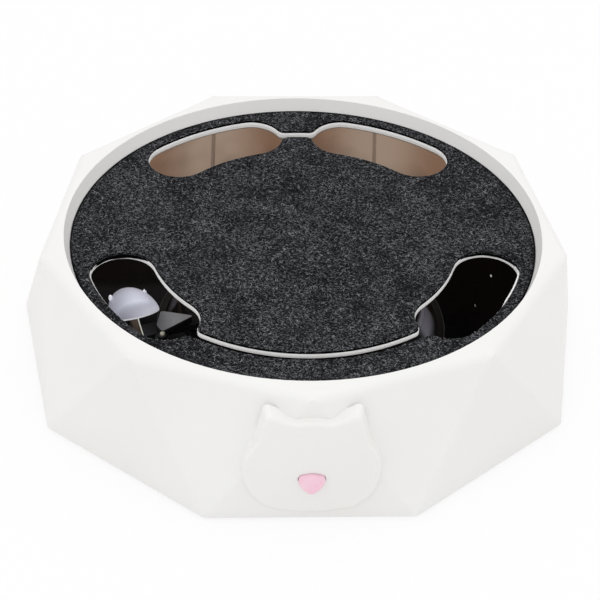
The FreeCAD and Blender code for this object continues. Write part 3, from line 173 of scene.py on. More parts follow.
# In the looks below, "patches" is a noise's scale, the levels between which one colour turns into the
# other, and its detail and roughness. "rough" is a noise's scale, then the least and the most rough.
# "grain" is the scale and strength of the fine bumps, and where given their depth and detail.

# Casing: white moulded plastic; inside, a painted tan base colour and a painted tan glow stand in for
# daylight shining through its walls
casingLook = {"white": (0.85, 0.845, 0.83), "cream": (0.835, 0.828, 0.81), "inside": (0.3, 0.22, 0.16),
              "glow": (0.26, 0.192, 0.148), "edgeGlow": (0.16, 0.09, 0.058), "frontGlow": (0.26, 0.26, 0.28),
              "turnedIn": (-0.004, -0.012), "insideTop": (0.057, 0.054), "insideFront": (-0.122, -0.118),
              "behind": (0.02, 0.06), "windowMiddle": 0.044, "offMiddle": (0.006, 0.033),
              "glowHeight": (0.004, 0.048, 0.7, 1.1), "cloudScale": 32.0, "clouds": (0.25, 0.75, 0.7, 1.22),
              "ribAngle": 160.0, "ribShade": (0.0006, 0.00132, 0.45, 1.0), "specular": 0.35,
              "patches": (14.0, 0.3, 0.75, 2.0), "rough": (260.0, 0.35, 0.48), "grain": (1400.0, 0.05)}


def dressCasing():
    look = casingLook
    casing = Surface("casingWhite")
    across, along, up = casing.axes()
    outward = casing.node("ShaderNodeVectorMath", {"operation": "DOT_PRODUCT"},
                          {0: casing.facing(), 1: casing.place * Vector((1, 1, 0))}, 1)
    inner = outward.step(*look["turnedIn"]) * up.step(*look["insideTop"]) * along.step(*look["insideFront"])
    plastic = casing.mottled(look["white"], look["cream"], *look["patches"])
    offMiddle = (across.size() - look["windowMiddle"]).size()
    tanGlow = casing.blend(offMiddle.step(*look["offMiddle"]), look["glow"], look["edgeGlow"])
    glow = casing.blend(along.step(*look["behind"]), look["frontGlow"], tanGlow)
    clouds = casing.noise(look["cloudScale"], 2.0).step(*look["clouds"]) * up.step(*look["glowHeight"])
    turn = math.radians(look["ribAngle"])
    besideRib = (across.size() * -math.cos(turn) - (along - axisY) * math.sin(turn)).size()
    # painted light: the inner faces take a tan base colour and a tan glow for daylight through the walls,
    # with painted shade beside the rib
    casing.set(Base_Color=casing.blend(inner, plastic, look["inside"]), Specular_IOR_Level=look["specular"])
    casing.glow(inner * clouds * besideRib.step(*look["ribShade"]), glow)
    casing.finish(look["rough"], *look["grain"])
    dress(casing, "outer_casing")


dressCasing()

# Pad plate: the white moulding that carries the felt; its cut edges glow a little
plateLook = {"white": (0.88, 0.875, 0.86), "shade": (0.82, 0.815, 0.8), "edgeGlow": (0.24, 0.24, 0.246),
             "sideways": (0.6, 0.3), "glowHeight": (0.0579, 0.0602, 0.12, 1.0),
             "patches": (60.0, 0.35, 0.7), "rough": (300.0, 0.36, 0.5), "grain": (1600.0, 0.08)}


def dressPlate():
    look = plateLook
    plate = Surface("plateWhite")
    plate.set(Base_Color=plate.mottled(look["white"], look["shade"], *look["patches"]))
    side = plate.facing().part(2).size().step(*look["sideways"])
    plate.glow(side * plate.place.part(2).step(*look["glowHeight"]), look["edgeGlow"])
    plate.finish(look["rough"], *look["grain"])
    dress(plate, "pad_plate")
    return plate


plate = dressPlate()

# Felt: heathered charcoal, dark and pale fibres that lie mostly sideways; painted shade makes it black along
# its cut edges and outer rim
feltLook = {"dark": (0.005, 0.0052, 0.0062), "pale": (0.193, 0.197, 0.213), "edge": (0.002, 0.002, 0.0022),
            "fibre": 1480.0, "finer": 0.12, "along": 2.0, "turns": (1.1, 1.57, 2.05, 0.5),
            "levels": (0.5, 0.74), "gateScale": 640.0, "gates": ((0.4, 0.55), (0.6, 0.45)),
            "cloudScale": 60.0, "clouds": (0.28, 0.72, 0.6, 1.4), "range": (0.0, 1.7), "flat": (0.3, 0.7),
            "rim": (0.1126, 0.1121), "bump": 0.6, "depth": 0.0005, "roughness": 0.95, "specular": 0.02}


def dressFelt():
    look = feltLook
    felt = Surface("feltCharcoal")
    threads = []
    for index, turn in enumerate(look["turns"]):
        scale = look["fibre"] * (0.85 + look["finer"] * index)
        thread = felt.noise(scale, 2.0, 0.65, felt.stretched(turn, look["along"]), 0.8)
        threads.append(thread.step(*look["levels"]))
    gate = felt.noise(look["gateScale"], 2.0, 0.6)
    gates = [gate.step(*levels) for levels in look["gates"]]
    tangle = threads[0] + threads[1] * gates[0] + threads[2] + threads[3] * gates[1]
    clouds = felt.noise(look["cloudScale"], 5.0, 0.74).step(*look["clouds"])
    colour = felt.blend((tangle * clouds).step(*look["range"]), look["dark"], look["pale"])
    # painted shade: faces that don't face up, and the outer rim, take the near-black edge colour
    onTop = felt.facing().part(2).step(*look["flat"]) * felt.reach().step(*look["rim"])
    felt.set(Base_Color=felt.blend(onTop, look["edge"], colour), Roughness=look["roughness"],
             Specular_IOR_Level=look["specular"])
    felt.bump(tangle, look["bump"], look["depth"])
    dress(felt, "felt_pad")
    return felt


felt = dressFelt()

# Tray: glossy black moulding with faint dust, a painted lit patch on the left and two painted glints on the
# right
trayLook = {"black": (0.004, 0.004, 0.0046), "litPatch": (0.04, 0.04, 0.043), "dust": (0.016, 0.016, 0.017),
            "dustLevels": (0.56, 0.78, 0.0, 0.5), "litPatchLeast": 0.3, "litPatchAcross": (-0.02, -0.07),
            "litPatchAlong": (-0.002, 0.012, 0.024, 0.034), "glintColour": (0.5, 0.5, 0.51),
            "paintedGlints": ((0.101, 0.0372, 0.0005, 0.0014, 0.9), (0.0901, 0.0122, 0.0004, 0.0015, 0.22)),
            "specular": 0.04, "rough": (90.0, 0.24, 0.4, 0.3, 0.75), "grain": (900.0, 0.06)}


def dressTray():
    look = trayLook
    tray = Surface("trayBlack")
    across, along = tray.axes()[:2]
    dust = tray.noise(420.0, 4.0, 0.65).step(*look["dustLevels"])
    # painted light: a paler stretch of the black floor on the left
    litPatch = across.step(*look["litPatchAcross"]) * (look["litPatchLeast"] + along.between(*look["litPatchAlong"]))
    litFloor = tray.blend(litPatch, look["black"], look["litPatch"])
    # painted highlights: two small glowing glints on the floor
    paintedGlints = 0.0
    for spotX, spotY, halfWidth, halfLength, share in look["paintedGlints"]:
        offSpot = (tray.place - Vector((spotX, spotY, 0))) * Vector((1 / halfWidth, 1 / halfLength, 0))
        paintedGlints += offSpot.length().step(1.0, 0.5) * share
    tray.set(Base_Color=tray.blend(dust, litFloor, look["dust"]), Specular_IOR_Level=look["specular"])
    tray.glow(paintedGlints, look["glintColour"])
    tray.finish(look["rough"], *look["grain"])
    dress(tray, "base_tray", "battery_door")


dressTray()

# Drum: black with faint dust, a thin pale upper edge that is a painted highlight, and stretches of its wall
# painted as lit
drumLook = {"black": (0.0035, 0.0035, 0.004), "wall": (0.42, 0.42, 0.48), "edge": (0.16, 0.16, 0.17),
            "right": (-0.028, -0.0215, -0.007, -0.001), "left": (-0.003, 0.0, 0.016, 0.026),
            "leftShare": 0.6, "fullAcross": 0.02, "wallHeight": (0.009, 0.016, 0.0224, 0.0229),
            "wallClouds": (0.2, 0.8, 0.75, 1.0), "edgeReach": (0.07215, 0.07235, 0.0, 0.8),
            "dustLevels": (0.55, 0.8, 0.0, 0.072), "specular": 0.25,
            "rough": (120.0, 0.3, 0.44, 0.3, 0.75), "grain": (700.0, 0.08)}


def dressDrum():
    look = drumLook
    drum = Surface("drumBlack")
    across, along, up = drum.axes()
    # painted light: lit stretches of the wall, in front on the right and further back on the left, in the
    # wall colour
    right = along.between(*look["right"]) * across.step(0.0, look["fullAcross"])
    left = along.between(*look["left"]) * across.step(0.0, -look["fullAcross"]) * look["leftShare"]
    wall = up.between(*look["wallHeight"]) * (right + left) * drum.noise(40.0, 2.0).step(*look["wallClouds"])
    # real dust, plus a painted highlight along the outer edge in the edge colour
    pale = drum.noise(380.0, 4.0, 0.65).step(*look["dustLevels"]) + drum.reach().step(*look["edgeReach"])
    colour = drum.blend(wall, look["black"], look["wall"])
    drum.set(Base_Color=drum.blend(pale, colour, look["edge"]), Specular_IOR_Level=look["specular"])
    drum.finish(look["rough"], *look["grain"])
    dress(drum, "drum_cover")


dressDrum()

# Arm, guard and hub: matt black with a fine spark-eroded texture, the guard greyer; its top is partly its
# own grey and partly a painted reflection, paler towards the hub, with a painted sheen glow
armLook = {"black": (0.007, 0.007, 0.0078), "worn": (0.024, 0.024, 0.0255),
           "patches": (500.0, 0.5, 0.8, 4.0, 0.7), "rough": (1500.0, 0.34, 0.54), "grain": (2600.0, 0.2)}
guardLook = {"grey": (0.15, 0.15, 0.156), "pale": (0.34, 0.34, 0.352), "paintedSheen": (0.075, 0.075, 0.077),
             "flat": (0.5, 0.85), "inwards": (0.079, 0.066), "outerSheen": 0.1,
             "speckle": (0.3, 0.7, 0.8, 1.1)}


def dressArm():
    arm = Surface("armBlack")
    arm.set(Base_Color=arm.mottled(armLook["black"], armLook["worn"], *armLook["patches"]))
    arm.finish(armLook["rough"], *armLook["grain"])
    dress(arm, "rotor_arm", "rotor_hub", "roller_core", "button_switch")
    return arm


def dressGuard():
    look = guardLook
    guard = Surface("guardGrey")
    top = guard.facing().part(2).step(*look["flat"])
    inwards = guard.reach().step(*look["inwards"])
    speckle = guard.noise(500.0, 4.0, 0.7).step(*look["speckle"])
    # painted reflection: the guard's top turns paler towards the hub
    face = guard.blend(inwards * speckle, look["grey"], look["pale"])
    guard.set(Base_Color=guard.blend(top, armLook["worn"], face))
    # painted sheen, glowing most towards the hub
    guard.glow((inwards * (1 - look["outerSheen"]) + look["outerSheen"]) * top, look["paintedSheen"])
    guard.finish(armLook["rough"], *armLook["grain"])
    dress(guard, "roller_guard")
    return guard


armBlack = dressArm()
guardGrey = dressGuard()

# Mouse: milky lilac plastic, paler in clouds towards its top; a painted glow stands in for light through it,
# a pale glowing rim is a painted highlight, and its outer side is painted in shade
mouseLook = {"lilac": (0.6, 0.61, 0.705), "pale": (0.66, 0.67, 0.76), "shadedSide": (0.47, 0.48, 0.56),
             "rim": (0.93, 0.93, 0.96), "glow": (0.19, 0.195, 0.23), "lowGlow": (0.32, 0.325, 0.36),
             "shadedSideGlow": (0.08, 0.082, 0.1), "rimGlow": (0.3, 0.3, 0.32),
             "rimHeight": (0.039, 0.0387), "paleHeight": (0.039, 0.047), "glowHeight": (0.0445, 0.0395),
             "shadedSideReach": (0.08, 0.096), "clouds": (0.3, 0.7, 0.5, 1.0), "refraction": 1.46,
             "subsurface": 0.3, "depth": (0.002, 0.002, 0.0025), "rough": (700.0, 0.29, 0.44),
             "grain": (900.0, 0.05)}


def dressMouse():
    look = mouseLook
    mouse = Surface("mouseLilac")
    up = mouse.place.part(2)
    # painted shade on the mouse's outer side
    shadedSide = mouse.reach().step(*look["shadedSideReach"])
    rim = up.step(*look["rimHeight"])
    upper = up.step(*look["paleHeight"]) * mouse.noise(160.0).step(*look["clouds"])
    colour = mouse.blend(shadedSide, mouse.blend(upper, look["lilac"], look["pale"]), look["shadedSide"])
    # painted glow for light through the plastic, stronger lower down
    lit = mouse.blend(up.step(*look["glowHeight"]), look["glow"], look["lowGlow"])
    glow = mouse.blend(shadedSide, lit, look["shadedSideGlow"])
    # painted highlight: the rim is pale and glows more
    mouse.set(Base_Color=mouse.blend(rim, colour, look["rim"]),
              Emission_Color=mouse.blend(rim, glow, look["rimGlow"]), Emission_Strength=1.0,
              IOR=look["refraction"], Subsurface_Weight=look["subsurface"], Subsurface_Radius=look["depth"])
    mouse.finish(look["rough"], *look["grain"])
    dress(mouse, "mouse_shell")
    return mouse


mouse = dressMouse()

# Ears: as pale as the mouse's rim, with the rim's painted glow
earLook = {"patches": (700.0, 0.2, 0.6, 2.0), "rough": (900.0, 0.29, 0.44), "grain": (1200.0, 0.05, 0.0001)}
earPale = Surface("earPale")
earPale.set(Base_Color=earPale.mottled(mouseLook["pale"], mouseLook["rim"], *earLook["patches"]),
            Emission_Color=mouseLook["rimGlow"], Emission_Strength=1.0)
earPale.finish(earLook["rough"], *earLook["grain"])

# Post: amber, darker towards its foot, with a pale glowing line down its inner edge that is a painted
# highlight
postLook = {"amber": (0.3, 0.22, 0.17), "deep": (0.12, 0.09, 0.07), "edge": (0.75, 0.75, 0.7),
            "lineGlow": (0.32, 0.32, 0.27), "foot": 0.027, "head": 0.042, "innerFace": 0.0843, "lean": 0.173,
            "line": (0.0007, 0.0005), "rough": (900.0, 0.22, 0.36), "grain": (700.0, 0.06)}


def dressPost():
    look = postLook
    post = Surface("postAmber")
    up = post.place.part(2)
    # painted highlight: a thin pale, glowing line along the post's inner edge
    line = (post.reach() - (up - look["foot"]) * look["lean"] - look["innerFace"]).step(*look["line"])
    body = post.blend(up.step(look["foot"], look["head"]), look["deep"], look["amber"])
    post.set(Base_Color=post.blend(line, body, look["edge"]))
    post.glow(line, look["lineGlow"])
    post.finish(look["rough"], *look["grain"])
    dress(post, "mouse_post")


dressPost()

# Nose: soft pink button
noseLook = {"pink": (0.93, 0.63, 0.735), "rose": (0.9, 0.57, 0.68), "subsurface": 0.15,
            "depth": (0.002, 0.001, 0.001), "patches": (180.0, 0.35, 0.7), "rough": (900.0, 0.32, 0.48),
            "grain": (1300.0, 0.08)}
nose = Surface("nosePink")
nose.set(Base_Color=nose.mottled(noseLook["pink"], noseLook["rose"], *noseLook["patches"]),
         Subsurface_Weight=noseLook["subsurface"], Subsurface_Radius=noseLook["depth"])
nose.finish(noseLook["rough"], *noseLook["grain"])
dress(nose, "nose_button")

# Rubber, metals and gear plastic; the values are colour, tint, roughness, scale of the patches, metallic
# and strength of the grain
plainLooks = {"footRubber": ((0.018, 0.018, 0.019), (0.035, 0.035, 0.036), 0.7, 600.0, 0.0, 0.3),
              "screwSteel": ((0.55, 0.55, 0.56), (0.42, 0.42, 0.43), 0.25, 900.0, 1.0, 0.08),
              "pinBrass": ((0.72, 0.53, 0.25), (0.55, 0.4, 0.19), 0.28, 800.0, 1.0, 0.08),
              "pinPale": ((0.86, 0.82, 0.66), (0.7, 0.66, 0.5), 0.3, 900.0, 0.2, 0.08),
              "gearWhite": ((0.78, 0.77, 0.72), (0.7, 0.69, 0.64), 0.35, 500.0, 0.0, 0.1)}


def dressPlain(name, *worn):
    colour, tint, roughness, scale, metallic, strength = plainLooks[name]
    made = Surface(name)
    made.set(Base_Color=made.mottled(colour, tint, scale, 0.35, 0.75, 4.0, 0.6), Metallic=metallic)
    made.finish((scale * 1.7, roughness, roughness + 0.15), scale * 2.5, strength)
    dress(made, *worn)
    return made


dressPlain("footRubber", "rubber_feet", "roller_tyre")
dressPlain("screwSteel", "casing_screws", "drum_screws", "battery_door_screw", "hub_screw", "axle_pins",
           "output_shaft", "roller_axle", "motor_can", "motor_shaft", "battery_contacts")
dressPlain("pinBrass", "shaft_bush", "guard_screw", "motor_pinion")
dressPlain("gearWhite", "gear_a", "gear_b", "output_gear")
palePin = dressPlain("pinPale")

# Cells: dark jacket with a pale band at the nub's end
cellLook = {"jacket": (0.02, 0.06, 0.13), "band": (0.6, 0.45, 0.2), "metal": (0.6, 0.6, 0.6),
            "metallic": 0.6, "ends": (0.0225, 0.0228), "bandStart": (0.008, 0.0083),
            "rough": (500.0, 0.2, 0.35), "grain": (900.0, 0.05, 0.0002, 3.0)}
cell = Surface("cellJacket")
cellAcross = cell.place.part(0)
jacket = cell.blend(cellAcross.size().step(*cellLook["ends"]), cellLook["jacket"], cellLook["metal"])
cell.set(Base_Color=cell.blend(cellAcross.step(*cellLook["bandStart"]), jacket, cellLook["band"]),
         Metallic=cellLook["metallic"])
cell.finish(cellLook["rough"], *cellLook["grain"])
dress(cell, "battery_cells")

# Circuit board: green lacquer over faint tracks
boardLook = {"green": (0.01, 0.09, 0.035), "track": (0.03, 0.2, 0.08), "scale": 120.0, "gap": 0.03,
             "rough": (400.0, 0.3, 0.45), "bump": 0.1, "depth": 0.0001}
board = Surface("boardGreen")
trackInputs = {"Vector": board.place, "Scale": boardLook["scale"], "Mortar Size": boardLook["gap"]}
tracks = board.node("ShaderNodeTexBrick", {}, trackInputs, 1)
board.set(Base_Color=board.blend(tracks, boardLook["green"], boardLook["track"]))
board.rough(*boardLook["rough"])
board.bump(tracks, boardLook["bump"], boardLook["depth"])
dress(board, "circuit_board")
print("stage: materials done")


# Mesh helpers
def finishPiece(name, mesh, surface, body, slot, *replaced):  # mesh to object, with its material and body
    for face in mesh.faces:
        face.smooth = True
    data = bpy.data.meshes.new(name)
    mesh.to_mesh(data)
    mesh.free()
    data.materials.append(surface.material)
    piece = bpy.data.objects.new(name, data)
    bpy.context.scene.collection.objects.link(piece)
    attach(piece, body)
    if replaced:
        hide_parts(*replaced)


def finishSolid(name, mesh, surface, body, slot, *replaced):  # the same for a closed skin
    bmesh.ops.recalc_face_normals(mesh, faces=mesh.faces)
    finishPiece(name, mesh, surface, body, slot, *replaced)


def closedRun(mesh, rows):  # skin over rows of corners, closed at both ends
    count = len(rows[0])
    for before, after in zip(rows, rows[1:]):
        for index in range(count):
            follow = (index + 1) % count
            mesh.faces.new((before[index], before[follow], after[follow], after[index]))
    mesh.faces.new(rows[0])
    mesh.faces.new(rows[-1][::-1])


def held(value, low, high):  # value kept between low and high
    return max(low, min(high, value))


# Fibres that stand proud of the felt, as thin bent strips
fibreLook = {"count": 5600, "fringe": 700, "length": 0.0019, "fringeShare": 0.45, "width": 0.00015,
             "bend": 0.9, "lift": 0.00022, "proud": 0.00002, "radius": 0.1118, "seed": 7,
             "ring": 0.091, "windowHalf": 0.0156, "windows": ((46.0, 72.0), (138.0, 165.0)),
             "slotHalf": 0.0025, "margin": 0.0008, "fringeBand": (0.0001, 0.0007),
             "dark": (0.02, 0.0205, 0.023), "pale": (0.36, 0.365, 0.385),
             "patches": (500.0, 0.38, 0.62, 2.0), "roughness": 0.9, "grainScale": 3000.0, "bump": 0.1,
             "depth": 0.0001}


def inWindow(x, y, grow):  # true over a window or slot, grown by a margin
    ring = fibreLook["ring"]
    offRing = abs(math.hypot(x, y) - ring)
    angle = abs(math.degrees(math.atan2(x, -y)))
    half = fibreLook["windowHalf"] + grow
    if offRing > half:
        return False
    for start, end in fibreLook["windows"]:
        if start < angle < end:
            return True
        for stop in (start, end):
            spot = Vector((math.sin(math.radians(stop)), -math.cos(math.radians(stop)))) * ring
            if (Vector((abs(x), y)) - spot).length < half:
                return True
    inSlot = angle < fibreLook["windows"][0][0] or angle > fibreLook["windows"][1][1]
    return inSlot and offRing < fibreLook["slotHalf"] + grow


def makeFibres():
    values = fibreLook
    chance = random.Random(values["seed"])
    low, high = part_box("felt_pad")
    middle = (Vector(low) + Vector(high)) / 2
    top = Vector(high).z
    mesh = bmesh.new()
    made = 0
    while made < values["count"] + values["fringe"]:
        fringe = made >= values["count"]  # the last ones lie along the windows' edges
        radius = values["radius"] * math.sqrt(chance.random())
        angle = chance.uniform(0, 2 * math.pi)
        x, y = radius * math.cos(angle), radius * math.sin(angle)
        turn = chance.uniform(0, math.pi)
        length = values["length"] * chance.uniform(0.5, 1.4) * (values["fringeShare"] if fringe else 1.0)
        bend = chance.uniform(-values["bend"], values["bend"])
        points = []
        for share in (-0.5, 0.0, 0.5):
            heading, reach = turn + bend * share, length * share
            points.append(Vector((x + reach * math.cos(heading), y + reach * math.sin(heading))))
        if fringe:
            nearest, farthest = values["fringeBand"]
            outside = inWindow(x, y, nearest) or not inWindow(x, y, farthest)
        else:
            outside = any(inWindow(*point, values["margin"]) or point.length > values["radius"]
                          for point in points)
        if outside:
            continue
        side = Vector((-math.sin(turn), math.cos(turn))) * values["width"] * chance.uniform(0.6, 1.2) / 2
        arch = values["lift"] * chance.uniform(0.2, 1.0)
        rows = []
        for point, rise in zip(points, (values["proud"], arch, values["proud"])):
            spotX, spotY = middle.x + point.x, middle.y + point.y
            rows.append([mesh.verts.new((spotX + side.x * way, spotY + side.y * way, top + rise))
                         for way in (-1, 1)])
        for first, second in zip(rows, rows[1:]):
            mesh.faces.new((first[0], first[1], second[1], second[0]))
        made += 1
    look = Surface("fibreGrey")
    look.set(Base_Color=look.mottled(values["dark"], values["pale"], *values["patches"]),
             Roughness=values["roughness"])
    look.bump(look.noise(values["grainScale"]), values["bump"], values["depth"])
    finishPiece("feltFibres", mesh, look, "housing", "felt_charcoal")


makeFibres()
print("stage: fibres done")

# Felt lips: where the felt rolls a little over the plate's edge at the far ends of the front windows
lipForm = {"ring": 0.091, "half": 0.01548, "thick": 0.00015, "top": 0.0611, "plateTop": 0.0601, "steps": 48,
           "taper": 0.25, "waves": 17.0, "waveShare": 0.12,
           "arcs": ((-72.0, 42.0, 168.0, 0.00165), (72.0, 20.0, 135.0, 0.0009))}  # end, from, to, depth


def makeLips():
    values = lipForm
    mesh = bmesh.new()
    for end, first, last, depth in values["arcs"]:
        turn = math.radians(end)
        centre = Vector((math.sin(turn) * values["ring"], axisY - math.cos(turn) * values["ring"]))
        rows = []
        for step in range(values["steps"] + 1):
            share = step / values["steps"]
            angle = math.radians(first + (last - first) * share)
            wave = 1.0 + values["waveShare"] * math.sin(values["waves"] * share)
            taper = min(1.0, share / values["taper"], (1 - share) / values["taper"])
            low = values["plateTop"] - depth * taper * wave
            heading = Vector((math.cos(angle), math.sin(angle)))
            outer = centre + heading * values["half"]
            inner = centre + heading * (values["half"] - values["thick"])
            corners = ((outer, values["top"]), (outer, low), (inner, low), (inner, values["top"]))
            rows.append([mesh.verts.new((*flat, height)) for flat, height in corners])
        closedRun(mesh, rows)
    finishSolid("feltLips", mesh, felt, "housing", "felt_charcoal")


makeLips()
print("stage: felt lips done")

# Plate lips: the plate's edge hangs lower over the back windows, and stands in a little at the front ones
rollForm = {"bottom": 0.0579, "ring": 0.091, "half": 0.0166, "taper": 0.006, "least": 0.1,
            "outerWall": 0.0985, "pale": (0.7, 0.67, 0.64), "low": (0.46, 0.41, 0.37),
            "clouds": (0.2, 0.8, 0.85, 1.0), "rough": (500.0, 0.4, 0.55), "grain": (1600.0, 0.08)}
farForm = {"hang": 0.0009, "slotHang": 0.0006, "slotEnd": 0.02, "slotFade": 0.01, "back": 0.0005,
           "proud": 0.00003}
sideForms = {"plateLedge": {"side": 1, "from": -0.075, "to": -0.02, "low": 0.05968, "high": 0.06008,
                            "proud": 0.0004, "back": 0.0, "trim": 0.0},
             "plateRim": {"side": -1, "from": -0.06, "to": -0.026, "low": 0.0597, "high": 0.06135,
                          "proud": 0.0005, "back": 0.0003, "trim": 0.55}}


def plateEdge(chosen):  # the lower edge of the plate's chosen walls: points in order and the way each faces
    data = nodes["pad_plate"].data
    links, facing = {}, {}
    for face in data.polygons:
        out = (face.center.xy - Vector((0, axisY))).length
        upright = abs(face.normal.z) <= 0.1 and abs(out - rollForm["ring"]) <= rollForm["half"]
        if not upright or not chosen(face, out):
            continue
        spots = [data.vertices[index].co for index in face.vertices]
        low = [spot for spot in spots if spot.z < rollForm["bottom"] + 0.0001]
        keys = [(round(spot.x, 6), round(spot.y, 6)) for spot in low]
        if len(keys) != 2 or keys[0] == keys[1]:
            continue
        for key, other in (keys, keys[::-1]):
            links.setdefault(key, set()).add(other)
            facing[key] = facing.get(key, Vector((0, 0, 0))) + face.normal
    path = [min(key for key in links if len(links[key]) == 1)]
    while True:
        onward = [key for key in links[path[-1]] if key not in path]
        if not onward:
            return [(Vector(key), facing[key].xy.normalized()) for key in path]
        path.append(onward[0])


def makeEdge(name, look, path, section):  # closed strip along an edge; section gives its size at each point
    mesh = bmesh.new()
    rows = []
    for spot, way in path:
        near = min((spot - path[0][0]).length, (spot - path[-1][0]).length)
        proud, back, low, high = section(spot, held(near / rollForm["taper"], rollForm["least"], 1.0))
        front, rear = spot + way * proud, spot - way * back
        corners = ((front, high), (front, low), (rear, low), (rear, high))
        rows.append([mesh.verts.new((*flat, height)) for flat, height in corners])
    closedRun(mesh, rows)
    finishSolid(name, mesh, look, "housing", "plate_white")


def makeFarEdge():
    def section(spot, share):
        besideSlot = (farForm["slotEnd"] - abs(spot.x)) / farForm["slotFade"]
        hang = farForm["hang"] * share + farForm["slotHang"] * held(besideSlot, 0.0, 1.0)
        return farForm["proud"], farForm["back"], rollForm["bottom"] - hang, rollForm["bottom"]

    look = Surface("plateRoll")
    # painted shade: the hanging lip darkens from pale at the plate towards its lower edge
    drop = look.place.part(2).step(rollForm["bottom"], rollForm["bottom"] - farForm["hang"])
    clouds = look.noise(300.0).step(*rollForm["clouds"])
    look.set(Base_Color=look.blend(drop * clouds, rollForm["pale"], rollForm["low"]))
    look.finish(rollForm["rough"], *rollForm["grain"])
    path = plateEdge(lambda face, out: face.normal.y < -0.05 and face.center.y > 0.05)
    makeEdge("plateRoll", look, path, section)


def makeSideEdge(name, form):
    def chosen(face, out):  # the outer wall of one front window
        along = form["from"] < face.center.y < form["to"] and out > rollForm["outerWall"]
        return along and face.normal.x * form["side"] > 0.25 and face.center.x * form["side"] < -0.05

    def section(spot, share):
        high = form["low"] + (form["high"] - form["low"]) * share
        return form["proud"] * share, form["back"], form["low"], high

    path = plateEdge(chosen)
    path[0] = (path[0][0].lerp(path[1][0], form["trim"]), path[0][1])
    makeEdge(name, plate, path, section)


makeFarEdge()
for edgeName, edgeForm in sideForms.items():
    makeSideEdge(edgeName, edgeForm)
print("stage: plate lips done")

# Mouse: smooth half-egg shell on the arm, open below, with two thin ears
mouseForm = {"armAngle": 200.8, "ring": 0.0869, "rim": 0.038, "halfWidth": 0.0121, "nose": 0.0192,
             "tail": 0.0033, "rise": 0.0085, "wall": 0.0012, "lean": 89.5, "along": 28, "around": 40}
armFrame = Matrix.Translation((0, axisY, 0)) @ Matrix.Rotation(math.radians(mouseForm["armAngle"]), 4, "Z")


def eggPoint(shrink, lean, turn):  # a point of the half-egg in the arm's own directions
    reach = mouseForm["nose" if lean < 0 else "tail"] - shrink
    wide = (mouseForm["halfWidth"] - shrink) * math.cos(lean) * math.cos(turn)
    rise = (mouseForm["rise"] - shrink) * math.cos(lean) * math.sin(turn)
    return Vector((mouseForm["ring"] + wide, reach * math.sin(lean), mouseForm["rim"] + rise))


def makeMouse():
    along, around, lean = mouseForm["along"], mouseForm["around"], mouseForm["lean"]
    mesh = bmesh.new()
    rims = []
    for shrink in (0.0, mouseForm["wall"]):
        rows = []
        for step in range(along + 1):
            tilt = math.radians(lean * (2 * step / along - 1))
            rows.append([mesh.verts.new(eggPoint(shrink, tilt, math.pi * index / around))
                         for index in range(around + 1)])
        for first, second in zip(rows, rows[1:]):
            for index in range(around):
                face = (first[index], first[index + 1], second[index + 1], second[index])
                mesh.faces.new(face if shrink else face[::-1])
        for row in (rows[0], rows[-1]):
            mesh.faces.new(row)
        rims.append([row[0] for row in rows] + [row[-1] for row in reversed(rows)])
    outside, inside = rims
    for index in range(len(outside)):
        after = (index + 1) % len(outside)
        mesh.faces.new((outside[index], outside[after], inside[after], inside[index]))
    mesh.transform(armFrame)
    finishSolid("mouseSkin", mesh, mouse, "rotor", "mouse_lilac", "mouse_shell")


# An ear's values are spread, ahead, lift, half width, half height and how pointed; the profile's are depth
# and share of the outline
earForm = {"ears": ((-0.0081, 0.0099, 0.00435, 0.0011, 0.0016, 0.75),
                    (0.0087, 0.0112, 0.0044, 0.0009, 0.0018, 0.0)),
           "thick": 0.0009, "profile": ((-0.5, 0.7), (-0.34, 1.0), (0.34, 1.0), (0.5, 0.7)), "steps": 24}


def makeEars():
    mesh = bmesh.new()
    for spread, ahead, lift, halfWidth, halfHeight, point in earForm["ears"]:
        centre = Vector((mouseForm["ring"] + spread, -ahead, mouseForm["rim"] + lift))
        rings = []
        for depth, share in earForm["profile"]:
            ring = []
            for step in range(earForm["steps"]):
                turn = 2 * math.pi * step / earForm["steps"]
                narrow = 1 - point * max(0.0, math.sin(turn))  # a pointed ear narrows upwards
                wide = halfWidth * share * narrow * math.cos(turn)
                offset = Vector((wide, earForm["thick"] * depth, halfHeight * share * math.sin(turn)))
                ring.append(mesh.verts.new(centre + offset))
            rings.append(ring)
        closedRun(mesh, rings)
    mesh.transform(armFrame)
    finishSolid("mouseEars", mesh, earPale, "rotor", "mouse_lilac")


makeMouse()
makeEars()
print("stage: mouse done")

# Guard: fan-shaped plate over the roller with rounded corners, a low lug beside it and the lug's pin
guardForm = {"corners": ((57.6, 1.2, 0.8), (71.4, -8.2, 1.4), (77.0, 1.5, 4.0), (76.2, 7.4, 1.5)),
             "cornerSteps": 8, "low": 0.027, "high": 0.03, "soften": 0.00025, "lug": (76.2, 7.9),
             "lugRadius": 0.0021, "lugHigh": 0.0284, "lugSteps": 28, "pinRadius": 0.00115, "pinHigh": 0.0297,
             "pinSteps": 24}


def roundedOutline(corners, steps):  # millimetre corners (x, y, radius) to a list of metre points
    points = []
    for index, (x, y, radius) in enumerate(corners):
        corner = Vector((x, y))
        before = (Vector(corners[index - 1][:2]) - corner).normalized()
        after = (Vector(corners[(index + 1) % len(corners)][:2]) - corner).normalized()
        half = before.angle(after) / 2
        centre = corner + (before + after).normalized() * radius / math.sin(half)
        start = corner + before * radius / math.tan(half) - centre
        end = corner + after * radius / math.tan(half) - centre
        sweep = start.angle_signed(end)
        for step in range(steps + 1):
            turn = -sweep * step / steps
            spot = centre + Vector((start.x * math.cos(turn) - start.y * math.sin(turn),
                                    start.x * math.sin(turn) + start.y * math.cos(turn)))
            points.append(spot / 1000)
    return points


